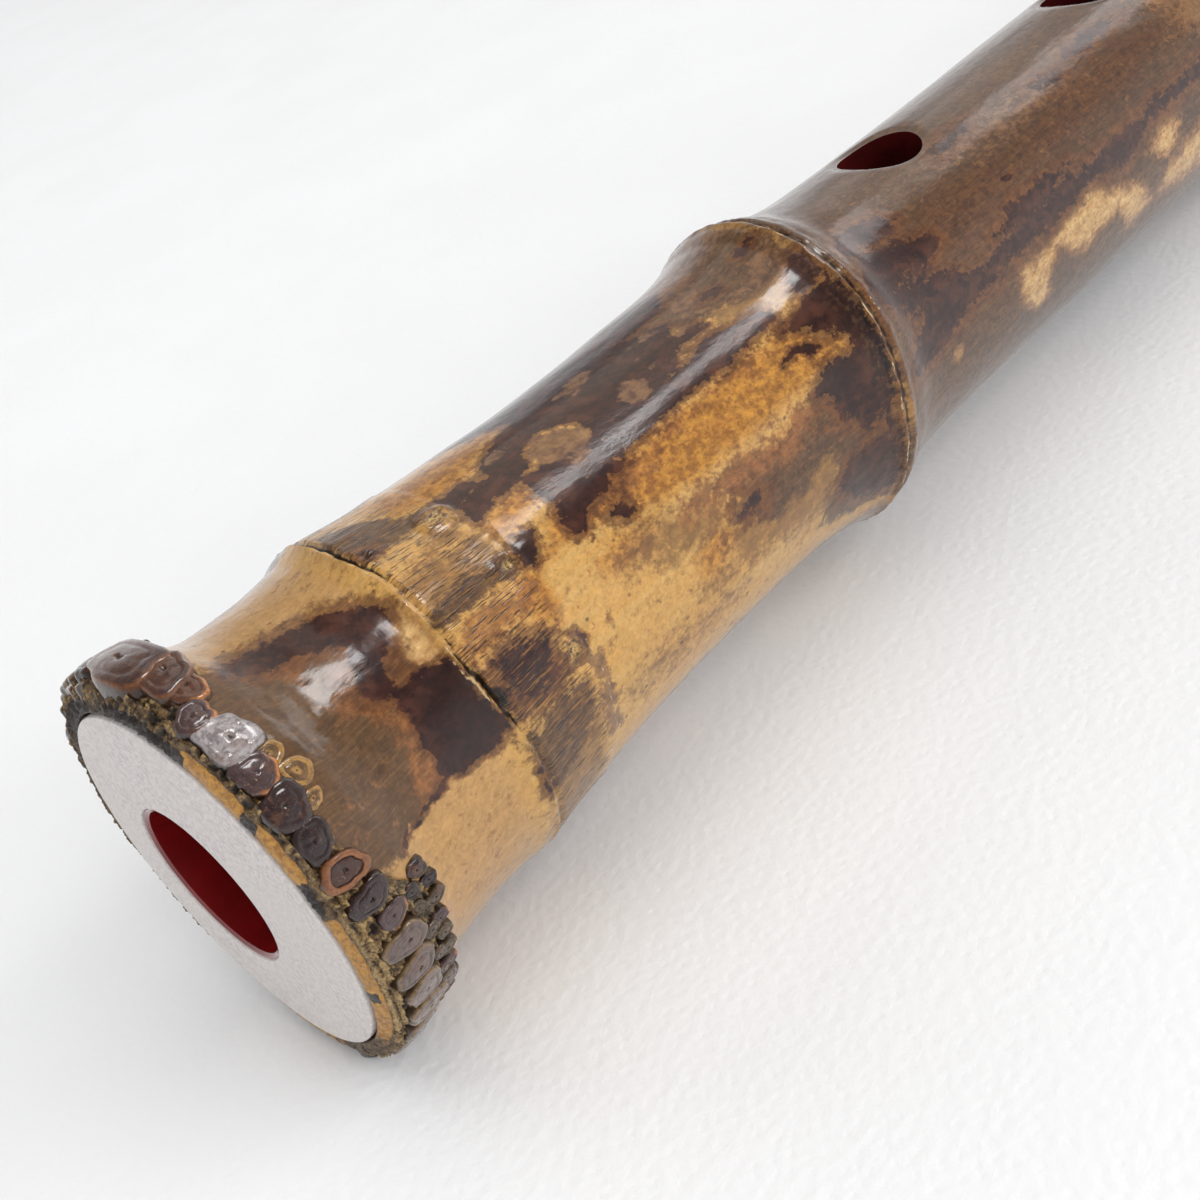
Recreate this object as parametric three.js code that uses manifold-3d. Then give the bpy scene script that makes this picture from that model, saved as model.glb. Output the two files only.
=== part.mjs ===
// Shakuhachi: an end-blown bamboo flute in two joints, with a root end, five tone holes and a lacquered bore.
// Millimetres, +Z up. The flute lies on a flat surface with its four front holes up and its mouth end towards +X.
// It is built along its own bore axis, x from 0 at the root end's face to LENGTH at the mouth, then tilted to lie
// on its root stubs and on the node near the mouth, and centred over the origin.
import * as THREE from "three";
import { mergeVertices } from "three/addons/utils/BufferGeometryUtils.js";
import Module from "manifold-3d";

// ---- driving dimensions ----
const LENGTH = 545; // one shaku eight sun
const GAP = 0.3; // glue line between two pieces that touch
const JOINT_X = 249; // where the two joints part
const FACE_GAP = 0.3; // between the two joints' end faces
const TENON_START = 210; // the tenon sleeve is glued in from here ...
const TENON_END = 271.7; // ... and stands out of the lower joint to here
const TENON_R = 12.2;
const TENON_WALL = 1.8;
const SOCKET_R = 12.28; // the tenon slides and turns in this
const SOCKET_WALL = 1.15;
const SOCKET_END = 272.0;
const SEAT_R = 16.6; // turned seat under the bindings and rings
const SEAT_LOW = 230.7; // the lower seat starts here
const SEAT_HIGH = 267.3; // the upper seat ends here
const BIND_R = 17.75; // crown of the rattan
const BIND_TURNS = 5;
const RING_R = 17.9; // metal rings at the joint faces
const RING_WIDTH = 1.95;
const PLATE_R = 21.0; // pale plate let into the root end
const PLATE_T = 2.6;
const LINING_T = 1.2; // ground paste and lacquer
const LINING_LIP_T = 0.5; // where it comes out through the plate
const FRONT_HOLES = [
  [122.2, 5.6],
  [173.0, 5.4],
  [221.0, 5.1],
  [279.0, 5.1],
]; // [x, radius], counted from the root end
const THUMB_HOLE = [309, 4.9]; // at the back
const EDGE_ANGLE = THREE.MathUtils.degToRad(30); // slope of the blowing edge's cut
const EDGE_Z = 9.6; // height of the cut over the axis, 0.5 mm past the mouth end
const INLAY = { top: 13.2, bottom: 9.6, height: 9.5, depth: 3.0 };
const REST_ROOT = [3.4, 24.7]; // [x, radius] of the stubs the flute lies on
const REST_MOUTH = [538, 18.2]; // and of the node near the mouth
const CULM_SEGMENTS = 36;
const BORE_SEGMENTS = 28;
const SLEEVE_SEGMENTS = 56;

// The culm along its length, without the joint's seats: x, outer radius, and how far its middle lies off the bore axis
// in the direction BEND.
const OUTER = [
  [0.7, 21.9, 0.2],
  [1.8, 23.4, 0.4],
  [3.6, 23.8, 0.5],
  [6.0, 23.4, 0.4],
  [8.3, 22.8, 0.2],
  [10.2, 21.8, 0.0],
  [12.5, 20.9, 0.2],
  [16.0, 20.5, 0.4],
  [20.0, 20.25, 0.6],
  [24.0, 20.4, 0.8],
  [26.6, 20.95, 1.1],
  [29.5, 20.6, 1.1],
  [34.0, 19.95, 1.1],
  [40.0, 19.5, 1.15],
  [48.0, 18.95, 1.2],
  [58.0, 18.55, 1.1],
  [68.0, 18.5, 1.1],
  [78.0, 18.6, 1.2],
  [85.0, 19.0, 1.1],
  [90.0, 19.9, 1.1],
  [93.3, 20.8, 1.2],
  [96.5, 20.2, 1.2],
  [99.5, 19.2, 1.1],
  [103.0, 18.6, 1.0],
  [108.0, 18.2, 0.8],
  [115.0, 18.0, 0.7],
  [130.0, 17.95, 0.45],
  [150.0, 18.05, 0.25],
  [175.0, 18.3, 0.1],
  [190.0, 18.5, 0.0],
  [195.0, 19.0, 0.0],
  [198.0, 19.6, 0.0],
  [201.0, 18.9, 0.0],
  [208.0, 18.2, 0.0],
  [220.0, 17.95, 0.0],
  [230.7, 17.9, 0.0],
  [267.3, 17.8, 0.0],
  [290.0, 17.6, 0.0],
  [312.0, 17.7, 0.0],
  [320.0, 18.1, 0.0],
  [323.5, 18.8, 0.0],
  [327.0, 18.0, 0.0],
  [335.0, 17.4, 0.0],
  [365.0, 17.1, 0.0],
  [400.0, 17.1, 0.0],
  [428.0, 17.4, 0.0],
  [434.0, 17.9, 0.0],
  [437.0, 18.5, 0.0],
  [440.5, 17.7, 0.0],
  [449.0, 17.1, 0.0],
  [480.0, 16.8, 0.0],
  [515.0, 17.0, 0.0],
  [530.0, 17.4, 0.0],
  [535.0, 17.8, 0.0],
  [538.0, 18.2, 0.0],
  [541.0, 17.6, 0.0],
  [543.6, 17.1, 0.0],
  [545.0, 16.2, 0.0],
];
const BEND = THREE.MathUtils.degToRad(56); // from +y towards +z
const NODE_TILT = { x: 93.3, by: 1.6, from: 72, to: 115, towards: THREE.MathUtils.degToRad(60) }; // the ring there isn't square to the axis

// Radius of the bore, widest at the mouth, narrowest above the root, and flared again in the root end.
const BORE = [
  [0.0, 9.45],
  [8.0, 9.25],
  [25.0, 8.8],
  [60.0, 8.1],
  [110.0, 7.85],
  [160.0, 8.2],
  [209.4, 8.65],
  [240.0, 8.9],
  [272.0, 9.1],
  [340.0, 9.35],
  [430.0, 9.65],
  [520.0, 9.9],
  [545.0, 10.0],
];

function along(table, x, column = 1) {
  if (x <= table[0][0]) return table[0][column];
  for (let i = 1; i < table.length; i++)
    if (x <= table[i][0]) {
      const t = (x - table[i - 1][0]) / (table[i][0] - table[i - 1][0]);
      return THREE.MathUtils.lerp(table[i - 1][column], table[i][column], t);
    }
  return table[table.length - 1][column];
}
const bore = (x) => along(BORE, x);

// The root end is bent, so the bore comes out off the middle of the plate.
function boreShift(x) {
  const k = 1 - THREE.MathUtils.smoothstep(x, -14, 52);
  return [4.22 * k, -2.03 * k];
}

// How far the surface at x is moved along the flute by the leaning node ring, in the direction a.
function nodeLean(x, a) {
  const t = NODE_TILT;
  const up = THREE.MathUtils.smoothstep(x, t.from, t.x),
    down = 1 - THREE.MathUtils.smoothstep(x, t.x, t.to);
  return t.by * Math.min(up, down) * Math.cos(a - t.towards);
}

// The point of the outer surface at x in the direction a, seen from the culm's own middle.
function culmPoint(x, a) {
  const r = along(OUTER, x, 1),
    off = along(OUTER, x, 2);
  return [
    x + nodeLean(x, a),
    r * Math.cos(a) + off * Math.cos(BEND),
    r * Math.sin(a) + off * Math.sin(BEND),
  ];
}

// ---- geometry helpers ----
const wasm = await Module();
wasm.setup();

// A closed profile of [x, r, kind] turned about the x axis. place(x, r, a, kind) may move each point: it gives [x, y, z].
function turned(profile, segments, place) {
  const points = profile.map(([x, r]) => new THREE.Vector2(r, x));
  points.push(points[0].clone());
  const geometry = new THREE.LatheGeometry(points, segments);
  const p = geometry.getAttribute("position");
  for (let i = 0; i < p.count; i++) {
    const x = p.getY(i),
      y = p.getZ(i),
      z = p.getX(i);
    const j = (i % points.length) % profile.length;
    const at = place
      ? place(x, Math.hypot(y, z), Math.atan2(z, y), profile[j][2])
      : [x, y, z];
    p.setXYZ(i, at[0], at[1], at[2]);
  }
  geometry.deleteAttribute("normal");
  geometry.deleteAttribute("uv");
  return mergeVertices(geometry, 1e-4);
}

function solid(geometry) {
  const g = geometry.clone();
  g.deleteAttribute("normal");
  g.deleteAttribute("uv");
  const m = mergeVertices(g, 1e-4);
  return new wasm.Manifold(
    new wasm.Mesh({
      numProp: 3,
      vertProperties: new Float32Array(m.getAttribute("position").array),
      triVerts: new Uint32Array(m.index.array),
    }),
  );
}

function geometryOf(manifold) {
  const m = manifold.getMesh();
  const g = new THREE.BufferGeometry();
  g.setAttribute(
    "position",
    new THREE.BufferAttribute(new Float32Array(m.vertProperties), 3),
  );
  g.setIndex(new THREE.BufferAttribute(new Uint32Array(m.triVerts), 1));
  g.computeVertexNormals();
  return g;
}

const polar = (x, r, a) => [x, r * Math.cos(a), r * Math.sin(a)];

// A straight tone hole's cutter: from the axis out through the front (+z) or the back (-z).
function holeCutter(x, r, sign) {
  const g = new THREE.CylinderGeometry(r, r, 26, 24);
  g.rotateX(Math.PI / 2);
  g.translate(x, 0, sign * 13);
  return solid(g);
}

// ---- the blowing edge ----
// A wedge that cuts the front of the mouth end to a slope, and the prism of the horn inlay let into that slope.
function edgeWedge() {
  const x0 = LENGTH + 0.5,
    run = 22;
  const s = new THREE.Shape();
  s.moveTo(x0, EDGE_Z);
  s.lineTo(x0 + 8, EDGE_Z - 8 * Math.tan(EDGE_ANGLE));
  s.lineTo(x0 + 8, 40);
  s.lineTo(x0 - run * Math.cos(EDGE_ANGLE) - 6, 40);
  s.lineTo(
    x0 - run * Math.cos(EDGE_ANGLE) * 1.3,
    EDGE_Z + run * Math.sin(EDGE_ANGLE) * 1.3,
  );
  s.closePath();
  const g = new THREE.ExtrudeGeometry(s, { depth: 60, bevelEnabled: false });
  g.rotateX(Math.PI / 2); // the shape's y becomes z, the depth runs along -y
  g.translate(0, 30, 0);
  return solid(g);
}

// grow widens the prism on its sides, its foot and its depth, for the pocket that holds it.
function placeInlay(grow) {
  const s = new THREE.Shape();
  const foot = INLAY.height + grow,
    w0 = INLAY.bottom / 2 + grow,
    w1 = INLAY.top / 2 + grow;
  s.moveTo(-w0, -foot);
  s.lineTo(w0, -foot);
  s.lineTo(w1, 0);
  s.lineTo(w1, 1.5);
  s.lineTo(-w1, 1.5);
  s.lineTo(-w1, 0);
  s.closePath();
  const lift = grow > 0 ? 1 : 0;
  const g = new THREE.ExtrudeGeometry(s, {
    depth: INLAY.depth + grow + lift,
    bevelEnabled: false,
  });
  g.translate(0, 0, -(INLAY.depth + grow));
  // the shape's x runs across the flute, its y up the slope to the mouth, and its depth out of the slope
  const up = new THREE.Vector3(
      Math.cos(EDGE_ANGLE),
      0,
      -Math.sin(EDGE_ANGLE),
    ),
    out = new THREE.Vector3(Math.sin(EDGE_ANGLE), 0, Math.cos(EDGE_ANGLE));
  const across = new THREE.Vector3().crossVectors(up, out);
  g.applyMatrix4(new THREE.Matrix4().makeBasis(across, up, out));
  g.translate(LENGTH + 0.5, 0, EDGE_Z);
  return solid(g);
}

// ---- the culms ----
const placeCulm = (x, r, a, kind) => {
  if (kind === "outer") return culmPoint(x, a);
  if (kind === "inner") {
    const [oy, oz] = boreShift(x);
    return [x, r * Math.cos(a) + oy, r * Math.sin(a) + oz];
  }
  return polar(x, r, a);
};
const outerStations = (from, to) =>
  OUTER.filter(([x]) => x >= from && x <= to).map(([x, r]) => [x, r, "outer"]);

function lowerCulm() {
  const profile = [
    [0.5, PLATE_R + GAP, "plain"],
    ...outerStations(0.6, SEAT_LOW),
    [SEAT_LOW, SEAT_R, "plain"],
    [JOINT_X - FACE_GAP / 2, SEAT_R, "plain"],
    [JOINT_X - FACE_GAP / 2, TENON_R + GAP, "plain"],
    [TENON_START - GAP, TENON_R + GAP, "plain"],
  ];
  for (const x of [TENON_START - GAP, 160, 110, 60, 40, 25, 14, 6])
    profile.push([x, bore(x) + LINING_T + GAP, "inner"]);
  profile.push([
    PLATE_T + GAP,
    bore(PLATE_T) + LINING_T + GAP,
    "inner",
  ]);
  profile.push([PLATE_T + GAP, PLATE_R + GAP, "plain"]);
  let body = solid(turned(profile, CULM_SEGMENTS, placeCulm));
  const pocket = new THREE.CylinderGeometry(
    PLATE_R + GAP,
    PLATE_R + GAP,
    12,
    CULM_SEGMENTS,
  );
  pocket.rotateZ(Math.PI / 2);
  pocket.translate(PLATE_T + GAP - 6, 0, 0);
  body = rootStubs(body).subtract(solid(pocket));
  for (const [x, r] of FRONT_HOLES.filter(([x]) => x < JOINT_X))
    body = body.subtract(holeCutter(x, r, 1));
  return geometryOf(body);
}

// Short, ground-off stubs of the roots, in staggered rows round the root end.
function rootStubs(body) {
  const rows = [
    { x: 3.6, n: 15, r: 2.1, reach: 1.0, turn: 0.0 },
    { x: 8.0, n: 13, r: 1.7, reach: 0.8, turn: 0.5 },
  ];
  let seed = 11;
  const random = () => {
    seed = (seed * 16807) % 2147483647;
    return seed / 2147483647;
  };
  const stub = (x, y, z, a, r0, r1, sides) => {
    const g = new THREE.CylinderGeometry(r1, r0, 7, sides);
    g.translate(0, -3.5, 0);
    g.rotateX(a); // its top faces outward, from +y towards +z
    g.translate(x, y, z);
    body = body.add(solid(g));
  };
  for (const row of rows)
    for (let i = 0; i < row.n; i++) {
      const a =
        (2 * Math.PI * (i + row.turn)) / row.n + 0.12 * (random() - 0.5);
      const x = row.x + 0.8 * (random() - 0.5);
      const r = row.r * (0.85 + 0.3 * random());
      const [, y, z] = culmPoint(x, a);
      const out = Math.hypot(y, z) + row.reach * (0.7 + 0.5 * random());
      const lowest =
        (REST_ROOT[1] - 0.35) / Math.max(0.01, -Math.sin(a)); // clear of the two that carry the flute
      const reach = Math.min(out, lowest);
      stub(x, reach * Math.cos(a), reach * Math.sin(a), a, r, r * 0.8, 7);
    }
  // the two stubs underneath that the flute lies on
  for (const y of [-5.6, 5.6])
    stub(REST_ROOT[0], y, -REST_ROOT[1], -Math.PI / 2, 2.5, 2.2, 8);
  return body;
}

function upperCulm() {
  const profile = [
    [JOINT_X + FACE_GAP / 2, SOCKET_R + SOCKET_WALL + GAP, "plain"],
    [JOINT_X + FACE_GAP / 2, SEAT_R, "plain"],
    [SEAT_HIGH, SEAT_R, "plain"],
    ...outerStations(SEAT_HIGH, LENGTH),
  ];
  for (const x of [LENGTH, 520, 430, 340, SOCKET_END + GAP])
    profile.push([x, bore(x) + LINING_T + GAP, "plain"]);
  profile.push([SOCKET_END + GAP, SOCKET_R + SOCKET_WALL + GAP, "plain"]);
  let body = solid(turned(profile, CULM_SEGMENTS, placeCulm));
  body = body
    .subtract(holeCutter(FRONT_HOLES[3][0], FRONT_HOLES[3][1], 1))
    .subtract(holeCutter(THUMB_HOLE[0], THUMB_HOLE[1], -1))
    .subtract(edgeWedge())
    .subtract(placeInlay(GAP));
  return geometryOf(body);
}

// ---- the linings: ground paste and red lacquer ----
function lowerLining() {
  const profile = [
    [0, bore(0) + LINING_LIP_T, "inner"],
    [PLATE_T - 0.1, bore(PLATE_T) + LINING_LIP_T, "inner"],
    [PLATE_T + GAP, bore(PLATE_T) + LINING_LIP_T, "inner"],
    [6, bore(6) + LINING_T, "inner"],
  ];
  for (const x of [14, 25, 40, 60, 110, 160, TENON_START - 0.6])
    profile.push([x, bore(x) + LINING_T, "inner"]);
  profile.push([TENON_START - 0.2, TENON_R - TENON_WALL - GAP, "plain"]);
  profile.push([TENON_END, TENON_R - TENON_WALL - GAP, "plain"]);
  for (const x of [TENON_END, 240, 209.4, 160, 110, 60, 40, 25, 14, 6, 0])
    profile.push([x, bore(x), "inner"]);
  let body = solid(turned(profile, BORE_SEGMENTS, placeCulm));
  for (const [x, r] of FRONT_HOLES.filter(([x]) => x < JOINT_X))
    body = body.subtract(holeCutter(x, r, 1));
  return geometryOf(body);
}

function upperLining() {
  const profile = [];
  for (const x of [SOCKET_END, 340, 430, 520, LENGTH])
    profile.push([x, bore(x) + LINING_T, "plain"]);
  for (const x of [LENGTH, 520, 430, 340, SOCKET_END])
    profile.push([x, bore(x), "plain"]);
  let body = solid(turned(profile, BORE_SEGMENTS));
  body = body
    .subtract(holeCutter(FRONT_HOLES[3][0], FRONT_HOLES[3][1], 1))
    .subtract(holeCutter(THUMB_HOLE[0], THUMB_HOLE[1], -1))
    .subtract(edgeWedge())
    .subtract(placeInlay(GAP));
  return geometryOf(body);
}

function blowingEdgeInlay() {
  const reach = new THREE.CylinderGeometry(
    bore(LENGTH),
    bore(520),
    40,
    BORE_SEGMENTS,
  );
  reach.rotateZ(-Math.PI / 2);
  reach.translate(LENGTH - 12, 0, 0);
  const past = new THREE.BoxGeometry(10, 60, 60);
  past.translate(LENGTH + 5, 0, 0);
  return geometryOf(
    placeInlay(0).subtract(solid(reach)).subtract(solid(past)),
  );
}

// ---- plate, sleeves, rings and bindings ----
function rootEndPlate() {
  const hole = (x) => bore(x) + LINING_LIP_T + GAP;
  return turned(
    [
      [0, hole(0), "inner"],
      [0, PLATE_R - 0.25, "plain"],
      [0.25, PLATE_R, "plain"],
      [PLATE_T, PLATE_R, "plain"],
      [PLATE_T, hole(PLATE_T), "inner"],
    ],
    48,
    placeCulm,
  );
}

function tenonSleeve() {
  const inner = TENON_R - TENON_WALL;
  const body = solid(
    turned(
      [
        [TENON_START, TENON_R],
        [TENON_END - 0.6, TENON_R],
        [TENON_END, TENON_R - 0.5],
        [TENON_END, inner],
        [TENON_START, inner],
      ],
      SLEEVE_SEGMENTS,
    ),
  );
  return geometryOf(
    body.subtract(holeCutter(FRONT_HOLES[2][0], FRONT_HOLES[2][1], 1)),
  );
}

const socketSleeve = () =>
  turned(
    [
      [JOINT_X + FACE_GAP / 2, SOCKET_R + SOCKET_WALL],
      [SOCKET_END, SOCKET_R + SOCKET_WALL],
      [SOCKET_END, SOCKET_R],
      [JOINT_X + FACE_GAP / 2, SOCKET_R],
    ],
    SLEEVE_SEGMENTS,
  );

function jointRing(from, to) {
  const inner = SEAT_R + GAP;
  return turned(
    [
      [from, inner],
      [from, RING_R - 0.2],
      [from + 0.2, RING_R],
      [to - 0.2, RING_R],
      [to, RING_R - 0.2],
      [to, inner],
    ],
    36,
  );
}

// Flat rattan wound side by side: the turns' crowns and the grooves between them.
function binding(from, to) {
  const inner = SEAT_R + GAP,
    pitch = (to - from) / BIND_TURNS;
  const profile = [[from, inner], [from, BIND_R - 0.35]];
  for (let i = 0; i < BIND_TURNS; i++) {
    profile.push([from + (i + 0.3) * pitch, BIND_R]);
    profile.push([from + (i + 0.7) * pitch, BIND_R]);
    if (i < BIND_TURNS - 1)
      profile.push([from + (i + 1) * pitch, BIND_R - 0.35]);
  }
  profile.push([to, BIND_R - 0.35], [to, inner]);
  return turned(profile, 28);
}

// ---- materials ----
const material = (color, roughness, metalness = 0) =>
  new THREE.MeshStandardMaterial({ color, roughness, metalness });
const bambooMaterial = material(0xa9762f, 0.35);
const lacquerMaterial = material(0x6e1410, 0.15);
const plateMaterial = material(0xc9c2c0, 0.6);
const sleeveMaterial = material(0x1d1513, 0.3);
const rattanMaterial = material(0x3a2416, 0.45);
const ringMaterial = material(0xc8c6c0, 0.3, 1.0);
const hornMaterial = material(0x1a1817, 0.2);

function piece(name, geometry, mat) {
  const mesh = new THREE.Mesh(geometry, mat);
  mesh.name = name;
  return mesh;
}

// ---- assembly ----
const lowerRingTo = JOINT_X - FACE_GAP / 2;
const upperRingFrom = JOINT_X + FACE_GAP / 2;
const lowerJoint = new THREE.Group();
lowerJoint.add(
  piece("lower_culm", lowerCulm(), bambooMaterial),
  piece("root_end_plate", rootEndPlate(), plateMaterial),
  piece("lower_bore_lining", lowerLining(), lacquerMaterial),
  piece("tenon_sleeve", tenonSleeve(), sleeveMaterial),
  piece(
    "lower_rattan_binding",
    binding(SEAT_LOW + GAP, lowerRingTo - RING_WIDTH - GAP),
    rattanMaterial,
  ),
  piece(
    "lower_joint_ring",
    jointRing(lowerRingTo - RING_WIDTH, lowerRingTo),
    ringMaterial,
  ),
);
const upperJoint = new THREE.Group();
upperJoint.add(
  piece("upper_culm", upperCulm(), bambooMaterial),
  piece("upper_bore_lining", upperLining(), lacquerMaterial),
  piece("socket_sleeve", socketSleeve(), sleeveMaterial),
  piece(
    "upper_rattan_binding",
    binding(upperRingFrom + RING_WIDTH + GAP, SEAT_HIGH - GAP),
    rattanMaterial,
  ),
  piece(
    "upper_joint_ring",
    jointRing(upperRingFrom, upperRingFrom + RING_WIDTH),
    ringMaterial,
  ),
  piece("blowing_edge_inlay", blowingEdgeInlay(), hornMaterial),
);

const flute = new THREE.Group();
flute.add(lowerJoint, upperJoint);
// lie down: the root end is thicker, so the axis falls slightly towards the mouth
flute.rotation.y = Math.asin(
  (REST_ROOT[1] - REST_MOUTH[1]) / (REST_MOUTH[0] - REST_ROOT[0]),
);
const shakuhachi = new THREE.Group();
shakuhachi.add(flute);
shakuhachi.updateMatrixWorld(true);
const box = new THREE.Box3().setFromObject(shakuhachi, true);
flute.position.set(
  -(box.min.x + box.max.x) / 2,
  -(box.min.y + box.max.y) / 2,
  -box.min.z,
);

export default shakuhachi;
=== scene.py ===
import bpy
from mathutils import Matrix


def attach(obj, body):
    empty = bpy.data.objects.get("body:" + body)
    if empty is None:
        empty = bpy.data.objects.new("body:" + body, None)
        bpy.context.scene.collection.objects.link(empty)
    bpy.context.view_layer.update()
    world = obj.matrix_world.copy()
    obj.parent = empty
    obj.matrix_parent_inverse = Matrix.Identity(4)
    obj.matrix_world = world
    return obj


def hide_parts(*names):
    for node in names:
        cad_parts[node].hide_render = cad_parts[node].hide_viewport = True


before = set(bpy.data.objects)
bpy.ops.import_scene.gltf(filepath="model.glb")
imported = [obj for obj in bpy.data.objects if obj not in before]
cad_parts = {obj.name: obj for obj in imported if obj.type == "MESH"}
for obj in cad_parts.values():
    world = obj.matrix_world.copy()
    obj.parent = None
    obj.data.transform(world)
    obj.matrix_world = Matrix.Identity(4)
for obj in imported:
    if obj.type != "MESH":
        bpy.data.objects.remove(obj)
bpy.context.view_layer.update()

import math

import bpy
import numpy as np
from mathutils import Matrix, Vector

# ---------------------------------------------------------------- the flute's own axes
# Lengths in this script are in millimetres in the flute's own axes (x along the bore from the root end, holes at +z)
# until to_row() turns them into metres in the frame.
TILT = 0.0121589228621737
CT, ST = math.cos(TILT), math.sin(TILT)
ORIGIN = (-272.41382775, -0.27260685, 24.76626326)


def to_row(p):
    p = np.asarray(p, float)
    x, y, z = p[..., 0], p[..., 1], p[..., 2]
    return np.stack([ORIGIN[0] + CT * x + ST * z, ORIGIN[1] + y, ORIGIN[2] - ST * x + CT * z], -1) * 0.001


def to_flute(p):
    p = np.asarray(p, float) * 1000.0 - np.array(ORIGIN)
    x, y, z = p[..., 0], p[..., 1], p[..., 2]
    return np.stack([CT * x - ST * z, y, ST * x + CT * z], -1)


def row_vector(v):
    return Vector((CT * v[0] + ST * v[2], v[1], -ST * v[0] + CT * v[2]))


# ---------------------------------------------------------------- the camera, lights and floor
scene = bpy.context.scene
scene.view_settings.view_transform = "Standard"
scene.view_settings.look = "None"
scene.view_settings.exposure = 0.0
scene.view_settings.gamma = 1.0

ROLL = math.radians(11.0)
CAM_ROWS = np.array([[0.6496293618980911, -0.735028517419474, -0.19420291125523556],
                     [-0.5897934724285698, -0.3260696115772101, -0.7387978534663843],
                     [0.4797138230659282, 0.5944843875040093, -0.6453394153261166]])
CAM_SHIFT = np.array([-37.4503756097561, 28.116336585365854, 157.6807024390244])
roll = np.array([[1, 0, 0], [0, math.cos(ROLL), -math.sin(ROLL)], [0, math.sin(ROLL), math.cos(ROLL)]])
cam_rows = CAM_ROWS @ roll.T
cam_at = -cam_rows.T @ CAM_SHIFT
cam_data = bpy.data.cameras.new("camera")
cam_data.lens = 48.0
cam_data.sensor_width = 36.0
cam_data.clip_start, cam_data.clip_end = 0.005, 20.0
camera = bpy.data.objects.new("camera", cam_data)
scene.collection.objects.link(camera)
right, up, back = row_vector(cam_rows[0]), row_vector(-cam_rows[1]), row_vector(-cam_rows[2])
at = Vector(to_row(cam_at))
camera.matrix_world = Matrix(((right.x, up.x, back.x, at.x), (right.y, up.y, back.y, at.y),
                              (right.z, up.z, back.z, at.z), (0, 0, 0, 1)))
scene.camera = camera


def area_light(name, at_mm, look_mm, size, size_y, watts, colour=(1, 1, 1), glossy=True, along=None):
    data = bpy.data.lights.new(name, "AREA")
    data.shape = "RECTANGLE"
    data.size, data.size_y = size, size_y
    data.energy = watts
    data.color = colour
    ob = bpy.data.objects.new(name, data)
    scene.collection.objects.link(ob)
    p, q = Vector(to_row(at_mm)), Vector(to_row(look_mm))
    z = (p - q).normalized()
    x = Vector(along or (1, 0, 0))
    x = (x - x.dot(z) * z).normalized()
    y = z.cross(x)
    ob.matrix_world = Matrix(((x.x, y.x, z.x, p.x), (x.y, y.y, z.y, p.y), (x.z, y.z, z.z, p.z), (0, 0, 0, 1)))
    ob.visible_glossy = glossy
    ob.visible_camera = False
    return ob


target = np.array([70.0, 0.0, 0.0])
for strip_name, strip_dir, strip_long, strip_wide, strip_watts in (("strip", (0.69, -0.185, 1.0), 0.21, 0.12, 0.68),
                                                                  ("window", (0.44, -0.185, 1.0), 0.32, 0.26, 3.9),
                                                                  ("low", (0.87, 0.03, 0.48), 0.50, 0.40, 1.3),
                                                                  ("glow", (0.60, 0.34, 0.72), 0.85, 0.90, 1.7)):
    strip_dir = np.array(strip_dir) / np.linalg.norm(strip_dir)
    strip = area_light(strip_name, target + 1300 * strip_dir, target, strip_long, strip_wide, strip_watts)
    strip.visible_diffuse = False
    strip.data.color = (1.0, 0.90, 0.80) if strip_name == "glow" else (1.0, 1.0, 1.0)
area_light("wide", target + np.array([250.0, -200.0, 2000.0]), target, 3.0, 3.0, 33.0, glossy=False)
area_light("right", target + 3600 * np.array([0.35, -0.80, 0.47]), target, 4.1, 2.8, 132.0, glossy=False)
area_light("left", target + 2400 * np.array([-0.10, 0.82, 0.50]), target, 2.6, 1.8, 20.0, glossy=False)
area_light("front", target + 2000 * np.array([-0.90, -0.10, 0.42]), target, 2.0, 1.2, 8.5, glossy=False)

world = bpy.data.worlds.new("studio")
scene.world = world
world.use_nodes = True
wt = world.node_tree
wt.nodes.clear()
w_out = wt.nodes.new("ShaderNodeOutputWorld")
w_bg = wt.nodes.new("ShaderNodeBackground")
w_geo = wt.nodes.new("ShaderNodeTexCoord")
w_sep = wt.nodes.new("ShaderNodeSeparateXYZ")
w_ramp = wt.nodes.new("ShaderNodeValToRGB")
w_ramp.color_ramp.elements[0].position = 0.0
w_ramp.color_ramp.elements[0].color = (0.98, 0.985, 1.0, 1)
w_ramp.color_ramp.elements[1].position = 0.68
w_ramp.color_ramp.elements[1].color = (0.12, 0.12, 0.125, 1)
for w_at, w_grey in ((0.24, 0.68), (0.46, 0.27)):
    w_mid = w_ramp.color_ramp.elements.new(w_at)
    w_mid.color = (w_grey, w_grey * 1.005, w_grey * 1.02, 1)
wt.links.new(w_geo.outputs["Generated"], w_sep.inputs[0])
wt.links.new(w_sep.outputs["Z"], w_ramp.inputs["Fac"])
wt.links.new(w_ramp.outputs["Color"], w_bg.inputs["Color"])
wt.links.new(w_bg.outputs[0], w_out.inputs[0])
w_bg.inputs["Strength"].default_value = 1.0


# ---------------------------------------------------------------- numbers
def smoothstep(a, b, x):
    t = np.clip((np.asarray(x, float) - a) / (b - a), 0, 1)
    return t * t * (3 - 2 * t)


def bell(x, width):
    return np.exp(-(np.asarray(x) / width) ** 2)


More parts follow.
